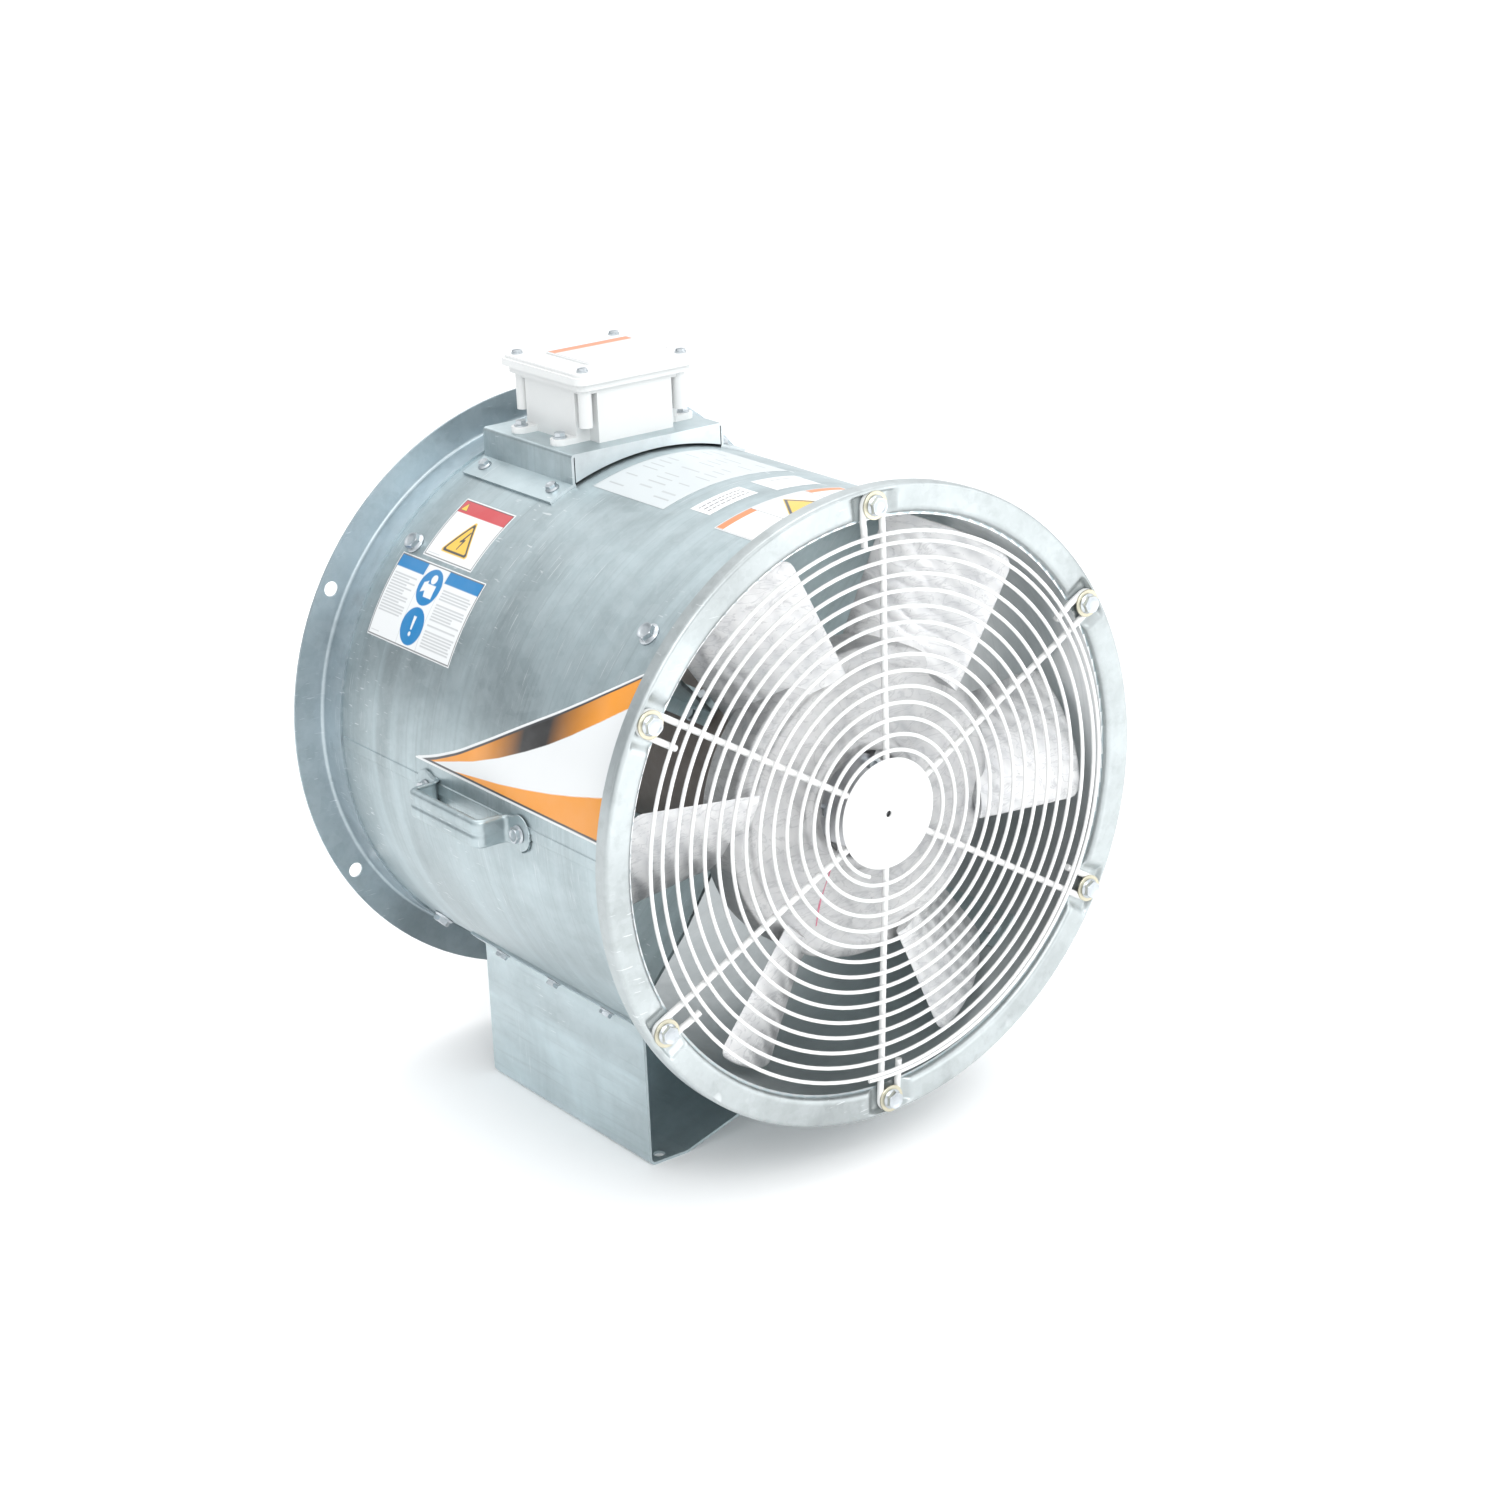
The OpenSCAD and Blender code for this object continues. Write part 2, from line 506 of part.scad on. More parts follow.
// One end bell, z = 0 on its outer face, body along +z.
module end_bell(shaft_hole) difference() {
  union() {
    cylinder(r = motor_r - 4, h = 6);
    translate([0, 0, 2]) cylinder(r = motor_r, h = 4);
    translate([0, 0, 5]) difference() { cylinder(r = shell_i, h = 9); translate([0, 0, -1]) cylinder(r = shell_i - 5, h = 12); }
    cylinder(r = 32, h = 21);
    for (k = [0:5]) rotate([0, 0, 60 * k + 15]) translate([28, -2.5, 3]) cube([47, 5, 8]);
  }
  translate([0, 0, 6]) cylinder(r = 26, h = 20);
  translate([0, 0, -1]) cylinder(r = shaft_hole, h = 10);
  for (k = [0:3]) rotate([0, 0, 90 * k]) translate([66, 0, -1]) cylinder(d = 6, h = 10);
}
module motor_end_front() color([0.36, 0.34, 0.32]) fan() mirror([0, 0, 1]) translate([0, 0, m_y0]) end_bell(13.2);
module motor_end_rear() color([0.36, 0.34, 0.32]) fan() translate([0, 0, -m_y1]) difference() { end_bell(0.01); cylinder(r = 0.02, h = 0.01); }
module motor_tie_rods() color(zinc) fan() for (k = [0:3]) rotate([0, 0, 90 * k]) translate([66, 0, 0]) {
  translate([0, 0, -m_y1 - 4]) cylinder(d = 5.9, h = m_y1 - m_y0 + 8);
  translate([0, 0, -m_y0]) hex(9, 4);
  translate([0, 0, -m_y1 - 5]) hex(9, 5);
}
module stator_core() color(steel) fan() difference() {
  ring(46, shell_i - 5, st_y0, st_y1);
  for (k = [0:23]) rotate([0, 0, 15 * k + 7.5]) translate([45, -1.2, -st_y1 - 1]) cube([3, 2.4, st_y1 - st_y0 + 2]);
  for (k = [0:23]) rotate([0, 0, 15 * k + 7.5]) translate([48, -2.6, -st_y1 - 1]) cube([11, 5.2, st_y1 - st_y0 + 2]);
  for (k = [0:3]) rotate([0, 0, 90 * k]) translate([66, 0, -st_y1 - 1]) cylinder(d = 7, h = st_y1 - st_y0 + 2);
}
module end_turns(ya, yb) rotate_extrude() {
  square_at(50.5, 59.5, ya, yb);
  square_at(48.5, 61.5, ya + 2, yb - 2);
  for (y = [ya + 2, yb - 2], r = [50.5, 59.5]) translate([r, -y]) circle(2);
}
module stator_windings() color([0.72, 0.38, 0.18]) fan() {
  end_turns(st_y0 - 24, st_y0 - 1);
  end_turns(st_y1 + 1, st_y1 + 24);
  for (k = [0:23]) rotate([0, 0, 15 * k + 7.5]) translate([50.5, -2.3, -st_y1 - 2]) cube([8, 4.6, st_y1 - st_y0 + 4]);
}
// Ball bearing 25 x 52 x 15, first face at depth y.
module race_outer() rotate_extrude() difference() {
  translate([21.7, 0]) square([4.3, 15]);
  translate([19.25, 7.5]) circle(4.01);
}
module race_inner() rotate_extrude() difference() {
  translate([12.5, 0]) square([4.3, 15]);
  translate([19.25, 7.5]) circle(4.01);
}
module balls() for (k = [0:8]) rotate([0, 0, 40 * k]) translate([19.25, 0, 7.5]) sphere(r = 3.97);
bf_y = m_y0 + 6 + 15; br_y = m_y1 - 7.5;
module bearing_outer_front() color(steel) fan() translate([0, 0, -bf_y]) race_outer();
module bearing_outer_rear() color(steel) fan() translate([0, 0, -br_y]) race_outer();
module bearing_inner_front() color(steel) fan() translate([0, 0, -bf_y]) race_inner();
module bearing_inner_rear() color(steel) fan() translate([0, 0, -br_y]) race_inner();
module bearing_balls_front() color(zinc) fan() translate([0, 0, -bf_y]) balls();
module bearing_balls_rear() color(zinc) fan() translate([0, 0, -br_y]) balls();
module preload_washer() color(steel) fan() ring(22.4, 25.9, m_y1 - 7.5, m_y1 - 6);

// ---- rotor -----------------------------------------------------------------
s_y0 = 34;                          // front end of the shaft
module motor_shaft() color(steel) fan() difference() {
  union() {
    cyl(shaft_d / 2, s_y0, bf_y - 14);
    cyl(12.5, bf_y - 15, bf_y);
    cyl(16, bf_y, br_y - 15);
    cyl(12.5, br_y - 15, br_y);
  }
  translate([shaft_d / 2 - 2.6, -2.4, -70]) cube([5, 4.8, 40]);
}
module shaft_key() color(steel) fan() translate([shaft_d / 2 - 2.6, -2.4, -70]) cube([4.8, 4.8, 34]);
module rotor_core() color(steel) fan() ring(16, 45.4, st_y0, st_y1);
module rotor_cage() color(alu) fan() {
  ring(30, 44, st_y0 - 8, st_y0);
  ring(30, 44, st_y1, st_y1 + 8);
  for (k = [0:7]) rotate([0, 0, 45 * k]) translate([31, -1.5, -st_y0]) cube([12, 3, 16]);
  for (k = [0:7]) rotate([0, 0, 45 * k]) translate([31, -1.5, -st_y1 - 16]) cube([12, 3, 16]);
}
module water_slinger() color([0.08, 0.08, 0.08]) fan() ring(shaft_d / 2, 17, 82, 87);

// Blade section, x round the wheel, y along the depth, leading edge at -x.
module blade_section() {
  c = sqrt(blade_t * blade_t + blade_a * blade_a);
  s1 = 10; s2 = 3.2;                // heights of the two faces over the chord
  R1 = (c * c / 4 + s1 * s1) / (2 * s1);
  R2 = (c * c / 4 + s2 * s2) / (2 * s2);
  difference() {
    intersection() {
      translate([0, s1 - R1]) circle(R1, $fn = 200);
      translate([-c / 2 + 0.9, -2]) square([c - 1.8, 20]);
    }
    translate([0, s2 - R2]) circle(R2, $fn = 200);
  }
}
module blade() intersection() {
  // z up the radius, then laid on the wheel
  rotate([0, 90, 0]) rotate([0, 0, 90])
    linear_extrude(230) rotate(-atan(blade_a / blade_t)) blade_section();
  // rounded outline seen from the front
  translate([0, 0, -60]) linear_extrude(120) {
    translate([hub_r - 6, -60]) square([tip_r - hub_r - 10, 120]);
    translate([hub_r - 6, -blade_t / 2 + 14]) square([tip_r - hub_r + 12, blade_t - 28]);
    for (s = [-1, 1]) translate([tip_r - 17, s * (blade_t / 2 - 15)]) circle(15);
    
  }
  cylinder(r = tip_r, h = 200, center = true);
}
hub_y0 = 21; hub_y1 = 62;
blade_mid = 43;                     // depth of the blades' middle
blade_turn = 60.2;                  // rest angle of the first blade
module fan_wheel() color(alu) fan() {
  difference() {
    union() {
      rotate_extrude() difference() {
        union() {
          // rim with a rounded front edge
          square_at(hub_r - 9, hub_r, hub_y0 + 5, hub_y1);
          square_at(44, hub_r - 5, hub_y0, hub_y0 + 8);
          translate([hub_r - 5, -hub_y0 - 5]) circle(5);
          // recess wall, floor and boss
          square_at(42, 48, hub_y0, hub_y0 + 26);
          square_at(24, 48, hub_y0 + 19, hub_y0 + 27);
          square_at(24, 38, hub_y0 + 19, hub_y1 + 10);
        }
        // shallow dish between recess and rim
        square_at(52, hub_r - 13, hub_y0 - 1, hub_y0 + 2);
      }
      // ribs behind the face
      for (k = [0:5]) rotate([0, 0, 60 * k + blade_turn]) {
        translate([47, -3, -hub_y1 + 6]) cube([hub_r - 53, 6, hub_y1 - hub_y0 - 10]);
        translate([30, -3, -hub_y1 + 6]) cube([20, 6, 9]);
      }
      for (k = [0:blades - 1]) rotate([0, 0, 360 / blades * k + blade_turn]) translate([0, 0, -blade_mid]) blade();
    }
    for (k = [0:2]) rotate([0, 0, 120 * k + 60]) translate([31, 0, -hub_y1]) cylinder(d = 5.8, h = 60);
  }
}
module hub_bushing() color(steel) fan() difference() {
  union() { ring(shaft_d / 2, 24, s_y0 - 1, hub_y1 + 10); ring(shaft_d / 2, 37, s_y0 - 1, hub_y0 + 19); }
  translate([0, -2.4, -100]) cube([shaft_d / 2 + 2.2, 4.8, 100]);
  for (k = [0:2]) rotate([0, 0, 120 * k + 60]) translate([31, 0, -hub_y1]) cylinder(d = 5.8, h = 60);
}
module bushing_screws() color(zinc) fan() for (k = [0:2]) rotate([0, 0, 120 * k + 60]) translate([31, 0, -s_y0 + 1]) difference() {
  union() { cylinder(d = 9.6, h = 5.6); translate([0, 0, -22]) cylinder(d = 5.8, h = 22); }
  translate([0, 0, 2.6]) hex(5, 4);
}

housing_tube();
inlet_ring();
outlet_flange();
base_stand();
base_screws();
base_nuts();
guard_spiral();
guard_spokes();
guard_disc();
guard_bolts();
guard_washers();
guard_nuts();
handle_left();
handle_right();
handle_bolts();
handle_nuts();
box_bracket();
bracket_screws();
junction_box();
box_gasket();
box_lid();
lid_screws();
box_screws();
wire_nipple();
nipple_locknuts();
terminal_block();
ground_screw();
motor_lead();
cable_gland();
support_vanes();
vane_bolts();
clinch_nuts();
vane_motor_bolts();
motor_shell();
motor_end_front();
motor_end_rear();
motor_tie_rods();
stator_core();
stator_windings();
bearing_outer_front();
bearing_outer_rear();
preload_washer();
fan_wheel();
hub_bushing();
bushing_screws();
shaft_key();
motor_shaft();
rotor_core();
rotor_cage();
bearing_inner_front();
bearing_inner_rear();
bearing_balls_front();
bearing_balls_rear();
water_slinger();
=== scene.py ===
import math
import random

import bmesh
import bpy
from mathutils import Matrix, Vector


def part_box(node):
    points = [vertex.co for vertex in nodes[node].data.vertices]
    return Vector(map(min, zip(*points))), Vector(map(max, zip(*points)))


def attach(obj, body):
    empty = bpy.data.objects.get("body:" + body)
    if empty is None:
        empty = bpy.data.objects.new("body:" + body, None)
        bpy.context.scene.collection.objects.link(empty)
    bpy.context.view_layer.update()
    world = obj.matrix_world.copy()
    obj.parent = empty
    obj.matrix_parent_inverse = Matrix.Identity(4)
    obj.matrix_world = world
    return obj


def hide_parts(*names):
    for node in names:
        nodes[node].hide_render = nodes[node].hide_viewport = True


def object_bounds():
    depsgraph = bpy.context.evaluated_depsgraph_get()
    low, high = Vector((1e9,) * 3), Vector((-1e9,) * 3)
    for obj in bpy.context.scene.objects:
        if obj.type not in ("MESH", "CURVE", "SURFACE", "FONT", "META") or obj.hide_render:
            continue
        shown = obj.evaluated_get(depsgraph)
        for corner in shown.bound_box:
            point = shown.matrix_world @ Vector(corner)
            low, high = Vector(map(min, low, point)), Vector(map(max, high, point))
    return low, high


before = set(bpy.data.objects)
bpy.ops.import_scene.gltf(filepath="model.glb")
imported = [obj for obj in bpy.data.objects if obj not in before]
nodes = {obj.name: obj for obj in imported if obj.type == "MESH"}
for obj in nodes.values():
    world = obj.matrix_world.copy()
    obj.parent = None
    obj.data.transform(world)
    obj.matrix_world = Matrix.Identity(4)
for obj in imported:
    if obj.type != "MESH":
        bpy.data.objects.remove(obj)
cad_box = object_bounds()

R = math.radians

# ---------------------------------------------------------------- frame ----
# Fan frame, in millimetres: x to the right, y behind the inlet face, z above
# the fan axis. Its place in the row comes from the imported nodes.
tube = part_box("housing_tube")
AXIS_Z = (tube[0][2] + tube[1][2]) / 2
FACE_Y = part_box("outlet_flange")[1][1] - 0.447


def pt(x, y, z):
    return Vector((x * 0.001, FACE_Y + y * 0.001, AXIS_Z + z * 0.001))


def pol(r, a, y):
    return pt(r * math.cos(R(a)), y, r * math.sin(R(a)))


# --------------------------------------------------------------- camera ----
AZ, EL, ROLL = R(-35.7336), R(19.7371), R(-2.4466)
right0 = Vector((math.cos(AZ), math.sin(AZ), 0))
up0 = Vector((-math.sin(AZ) * math.sin(EL), math.cos(AZ) * math.sin(EL), math.cos(EL)))
back = Vector((math.sin(AZ) * math.cos(EL), -math.cos(AZ) * math.cos(EL), math.sin(EL)))
right = math.cos(ROLL) * right0 + math.sin(ROLL) * up0
up = -math.sin(ROLL) * right0 + math.cos(ROLL) * up0
cam_data = bpy.data.cameras.new("camera")
cam = bpy.data.objects.new("camera", cam_data)
bpy.context.scene.collection.objects.link(cam)
cam_data.sensor_width = 36
cam_data.lens = 3191.58 / 1488 * 36
cam_data.clip_start, cam_data.clip_end = 0.05, 60
loc = pt(-1403.2, -1774.2, 869.7)
cam.matrix_world = Matrix(((right.x, up.x, back.x, loc.x), (right.y, up.y, back.y, loc.y), (right.z, up.z, back.z, loc.z), (0, 0, 0, 1)))
bpy.context.scene.camera = cam


# -------------------------------------------------------------- shaders ----
class Tree:
    """A material's node tree with short calls for what the materials use."""

    def __init__(self, name):
        self.m = bpy.data.materials.new(name)
        self.m.use_nodes = True
        self.t = self.m.node_tree
        self.t.nodes.clear()
        self.out = self.t.nodes.new("ShaderNodeOutputMaterial")
        self.b = self.t.nodes.new("ShaderNodeBsdfPrincipled")
        self.t.links.new(self.b.outputs[0], self.out.inputs[0])
        self.co = self.t.nodes.new("ShaderNodeTexCoord").outputs["Object"]

    def put(self, sock, val):
        if hasattr(val, "is_output"):
            self.t.links.new(val, sock)
        elif isinstance(val, (tuple, list)) and len(val) == 3 and sock.type == "RGBA":
            sock.default_value = (*val, 1)
        else:
            sock.default_value = val

    def set(self, **kw):
        for k, v in kw.items():
            self.put(self.b.inputs[k.replace("_", " ")], v)

    def mapped(self, scale, rot=(0, 0, 0), co=None):
        n = self.t.nodes.new("ShaderNodeMapping")
        n.inputs["Scale"].default_value = scale
        n.inputs["Rotation"].default_value = rot
        self.t.links.new(co or self.co, n.inputs["Vector"])
        return n.outputs[0]

    def noise(self, scale, detail=2.0, rough=0.5, co=None, distort=0.0):
        n = self.t.nodes.new("ShaderNodeTexNoise")
        n.inputs["Scale"].default_value = scale
        n.inputs["Detail"].default_value = detail
        n.inputs["Roughness"].default_value = rough
        n.inputs["Distortion"].default_value = distort
        self.t.links.new(co or self.co, n.inputs["Vector"])
        return n.outputs["Fac"]

    def cells(self, scale, co=None, out="Color", feature="F1"):
        n = self.t.nodes.new("ShaderNodeTexVoronoi")
        n.feature = feature
        n.inputs["Scale"].default_value = scale
        self.t.links.new(co or self.co, n.inputs["Vector"])
        return n.outputs[out]

    def wave(self, scale, distort=0.0, detail=2.0, co=None, axis="X"):
        n = self.t.nodes.new("ShaderNodeTexWave")
        n.bands_direction = axis
        n.inputs["Scale"].default_value = scale
        n.inputs["Distortion"].default_value = distort
        n.inputs["Detail"].default_value = detail
        self.t.links.new(co or self.co, n.inputs["Vector"])
        return n.outputs["Fac"]

    def ramp(self, fac, stops):
        n = self.t.nodes.new("ShaderNodeValToRGB")
        e = n.color_ramp.elements
        while len(e) < len(stops):
            e.new(0.5)
        for k, (pos, c) in zip(e, stops):
            k.position = pos
            k.color = (c, c, c, 1) if isinstance(c, (int, float)) else (*c, 1)
        self.put(n.inputs[0], fac)
        return n.outputs[0]

    def mix(self, fac, a, b, mode="MIX"):
        n = self.t.nodes.new("ShaderNodeMix")
        n.data_type = "RGBA"
        n.blend_type = mode
        n.clamp_factor = True
        self.put(n.inputs[0], fac)
        self.put(n.inputs[6], a)
        self.put(n.inputs[7], b)
        return n.outputs[2]

    def math(self, op, a, b=0.0, clamp=False):
        n = self.t.nodes.new("ShaderNodeMath")
        n.operation = op
        n.use_clamp = clamp
        self.put(n.inputs[0], a)
        self.put(n.inputs[1], b)
        return n.outputs[0]

    def span(self, fac, lo, hi, a=0.0, b=1.0):
        n = self.t.nodes.new("ShaderNodeMapRange")
        n.inputs[1].default_value, n.inputs[2].default_value = a, b
        n.inputs[3].default_value, n.inputs[4].default_value = lo, hi
        self.t.links.new(fac, n.inputs[0])
        return n.outputs[0]

    def bump(self, height, strength=0.3, dist=0.0005, normal=None):
        n = self.t.nodes.new("ShaderNodeBump")
        n.inputs["Strength"].default_value = strength
        n.inputs["Distance"].default_value = dist
        self.put(n.inputs["Height"], height)
        if normal is not None:
            self.t.links.new(normal, n.inputs["Normal"])
        return n.outputs[0]


def galvanized(name, tone=(0.375, 0.445, 0.465), streak=(5, 330, 5), band=(1.5, 42, 1.5), wear=1.0, painted_bottom_shade=None):
    t = Tree(name)
    spangle = t.cells(95, co=t.mapped((1, 0.75, 1)))
    fine = t.cells(260, co=t.mapped((1, 1, 1), rot=(0.4, 0.2, 0.9)))
    cloud = t.noise(6.5, 4, 0.6, distort=0.6)
    brush = t.noise(1.0, 4, 0.62, co=t.mapped(streak))
    wide = t.noise(1.0, 3, 0.55, co=t.mapped(band))
    base = t.mix(t.span(cloud, 0, 1, 0.32, 0.68), [c * 0.80 for c in tone], [min(1, c * 1.22) for c in tone])
    base = t.mix(t.span(wide, 0.0, 0.42, 0.50, 0.70), base, [min(1, c * 1.35) for c in tone])
    base = t.mix(t.span(wide, 0.32, 0.0, 0.30, 0.48), base, [c * 0.70 for c in tone])
    grain = t.mix(0.45, spangle, fine)
    bw = t.t.nodes.new("ShaderNodeRGBToBW")
    t.t.links.new(grain, bw.inputs[0])
    grain = bw.outputs[0]
    base = t.mix(t.span(grain, 0.0, 0.10 * wear, 0.25, 0.75), base, (0.86, 0.91, 0.94))
    base = t.mix(t.span(brush, 0.0, 0.30 * wear, 0.54, 0.74), base, [c * 0.62 for c in tone])
    smudge = t.noise(23, 5, 0.6, distort=0.8)
    dull = t.ramp(t.noise(3.1, 5, 0.66, distort=1.2), [(0.56, 0.0), (0.70, 1.0)])
    base = t.mix(t.math("MULTIPLY", dull, 0.35), base, [c * 0.66 for c in tone])
    scr = t.ramp(t.noise(1.0, 2, 0.5, co=t.mapped((30, 900, 30), rot=(0.5, 0.35, 0.2))), [(0.66, 0.0), (0.70, 1.0)])
    scr2 = t.ramp(t.noise(9, 1), [(0.52, 0.0), (0.62, 1.0)])
    scr = t.math("MULTIPLY", scr, scr2)
    scr3 = t.ramp(t.noise(1.0, 1, 0.5, co=t.mapped((70, 70, 700), rot=(0.15, -0.3, 0.4))), [(0.70, 0.0), (0.73, 1.0)])
    scr3 = t.math("MULTIPLY", scr3, t.ramp(t.noise(7, 1, co=t.mapped((1, 1, 1), rot=(1, 2, 0))), [(0.55, 0.0), (0.62, 1.0)]))
    base = t.mix(t.math("MULTIPLY", scr, 0.34 * wear), base, (0.93, 0.95, 0.96))
    base = t.mix(t.math("MULTIPLY", scr3, 0.36 * wear), base, (0.95, 0.96, 0.97))
    if painted_bottom_shade:
        # painted shade: the colour darkens towards the bottom of the bore and thins out towards its top
        sep = t.t.nodes.new("ShaderNodeSeparateXYZ")
        t.t.links.new(t.co, sep.inputs[0])
        base = t.mix(t.span(sep.outputs["Z"], 0.72, 0.0, AXIS_Z - 0.15, AXIS_Z + 0.09), base, painted_bottom_shade)
    t.set(Base_Color=base, Metallic=0.80)
    rough = t.math("ADD", t.span(smudge, 0.30, 0.48), t.span(grain, -0.05, 0.06))
    rough = t.math("ADD", rough, t.math("MULTIPLY", dull, 0.10))
    t.set(Roughness=rough)
    n = t.bump(t.noise(5.5, 2, 0.4), 0.30, 0.0026)
    n = t.bump(grain, 0.08, 0.0002, n)
    n = t.bump(brush, 0.14, 0.0002, n)
    t.set(Normal=n)
    return t.m


def coat(name, tone, rough=0.38, peel=900, tint=0.05):
    t = Tree(name)
    cloud = t.noise(14, 4, 0.6)
    t.set(Base_Color=t.mix(t.span(cloud, 0, 1, 0.3, 0.75), [c * (1 - tint) for c in tone], tone))
    t.set(Roughness=t.span(t.noise(60, 3), rough - 0.06, rough + 0.10), Coat_Weight=0.15, Coat_Roughness=0.25)
    t.set(Normal=t.bump(t.noise(peel, 2, 0.5), 0.20, 0.00025))
    return t.m


def plated(name, tone, rough=0.26, metallic=1.0):
    t = Tree(name)
    cloud = t.noise(90, 3, 0.6)
    spot = t.ramp(t.noise(420, 2, 0.5), [(0.60, 0.0), (0.74, 1.0)])
    base = t.mix(t.span(cloud, 0, 1, 0.3, 0.7), [c * 0.80 for c in tone], tone)
    base = t.mix(t.math("MULTIPLY", spot, 0.35), base, [c * 0.55 for c in tone])
    t.set(Base_Color=base, Metallic=metallic, Roughness=t.span(t.noise(220, 3), rough, rough + 0.16))
    t.set(Normal=t.bump(t.noise(1500, 2), 0.12, 0.0001))
    return t.m


def cast_aluminium(name, k=1.0):
    t = Tree(name)
    ripple = t.wave(24, 5.5, 3.0, co=t.mapped((1, 1, 1), rot=(0, R(38), 0)), axis="X")
    grit = t.noise(1500, 4, 0.65)
    pits = t.ramp(t.noise(330, 3, 0.6), [(0.64, 0.0), (0.72, 1.0)])
    cloud = t.noise(17, 5, 0.6)
    base = t.mix(t.span(cloud, 0, 1, 0.3, 0.72), (0.52 * k, 0.53 * k, 0.545 * k), (0.80 * k, 0.80 * k, 0.80 * k))
    base = t.mix(t.span(ripple, 0.0, 0.34), base, (0.92 * k, 0.92 * k, 0.91 * k))
    base = t.mix(t.math("MULTIPLY", pits, 0.5), base, (0.34, 0.35, 0.36))
    folds = t.noise(1.0, 3, 0.55, co=t.mapped((26, 26, 60), rot=(R(20), R(35), R(10))), distort=1.6)
    line = t.ramp(folds, [(0.47, 0.0), (0.50, 1.0), (0.53, 0.0)])
    base = t.mix(t.math("MULTIPLY", line, 0.42), base, (0.40 * k, 0.41 * k, 0.43 * k))
    t.set(Base_Color=base, Metallic=0.72, Roughness=t.span(ripple, 0.36, 0.55))
    n = t.bump(ripple, 0.45, 0.0009)
    n = t.bump(line, -0.5, 0.0006, n)
    n = t.bump(grit, 0.30, 0.00012, n)
    n = t.bump(pits, -0.20, 0.0002, n)
    t.set(Normal=n)
    return t.m


def plastic(name, tone, rough=0.36, grain=1400, strength=0.10):
    t = Tree(name)
    cloud = t.noise(11, 4, 0.6)
    dust = t.ramp(t.noise(300, 3, 0.6), [(0.62, 0.0), (0.78, 1.0)])
    base = t.mix(t.span(cloud, 0, 1, 0.3, 0.7), [c * 0.95 for c in tone], tone)
    base = t.mix(t.math("MULTIPLY", dust, 0.10), base, [c * 0.80 for c in tone])
    t.set(Base_Color=base, Roughness=t.span(t.noise(45, 3), rough - 0.05, rough + 0.10), Specular_IOR_Level=0.45)
    t.set(Normal=t.bump(t.noise(grain, 2), strength, 0.0001))
    return t.m


def enamel(name, tone, rough=0.42):
    t = Tree(name)
    cloud = t.noise(20, 5, 0.6)
    base = t.mix(t.span(cloud, 0, 1, 0.3, 0.7), [c * 0.75 for c in tone], [min(1, c * 1.15) for c in tone])
    dust = t.noise(60, 4, 0.7)
    base = t.mix(t.span(dust, 0.0, 0.25, 0.5, 0.8), base, (0.50, 0.48, 0.45))
    t.set(Base_Color=base, Metallic=0.15, Roughness=t.span(dust, rough, rough + 0.2))
    t.set(Normal=t.bump(t.noise(700, 3, 0.6), 0.3, 0.0002))
    return t.m


def steel(name, tone, rough=0.3, streak=(60, 1500, 60)):
    t = Tree(name)
    turn = t.noise(1.0, 3, 0.6, co=t.mapped(streak))
    base = t.mix(t.span(turn, 0, 1, 0.3, 0.7), [c * 0.82 for c in tone], tone)
    t.set(Base_Color=base, Metallic=1.0, Roughness=t.span(turn, rough - 0.06, rough + 0.12))
    t.set(Normal=t.bump(turn, 0.15, 0.0001))
    return t.m


def laminated(name, tone):
    t = Tree(name)
    lam = t.wave(320, 0.3, 1.0, axis="Y")
    base = t.mix(lam, [c * 0.6 for c in tone], tone)
    t.set(Base_Color=base, Metallic=0.7, Roughness=0.5, Normal=t.bump(lam, 0.5, 0.0003))
    return t.m


def copper_wire(name):
    t = Tree(name)
    w = t.wave(500, 1.5, 2.0, co=t.mapped((1, 0.3, 1)), axis="DIAGONAL")
    base = t.mix(w, (0.36, 0.14, 0.06), (0.78, 0.40, 0.20))
    t.set(Base_Color=base, Metallic=0.75, Roughness=0.33, Normal=t.bump(w, 0.7, 0.0005))
    return t.m


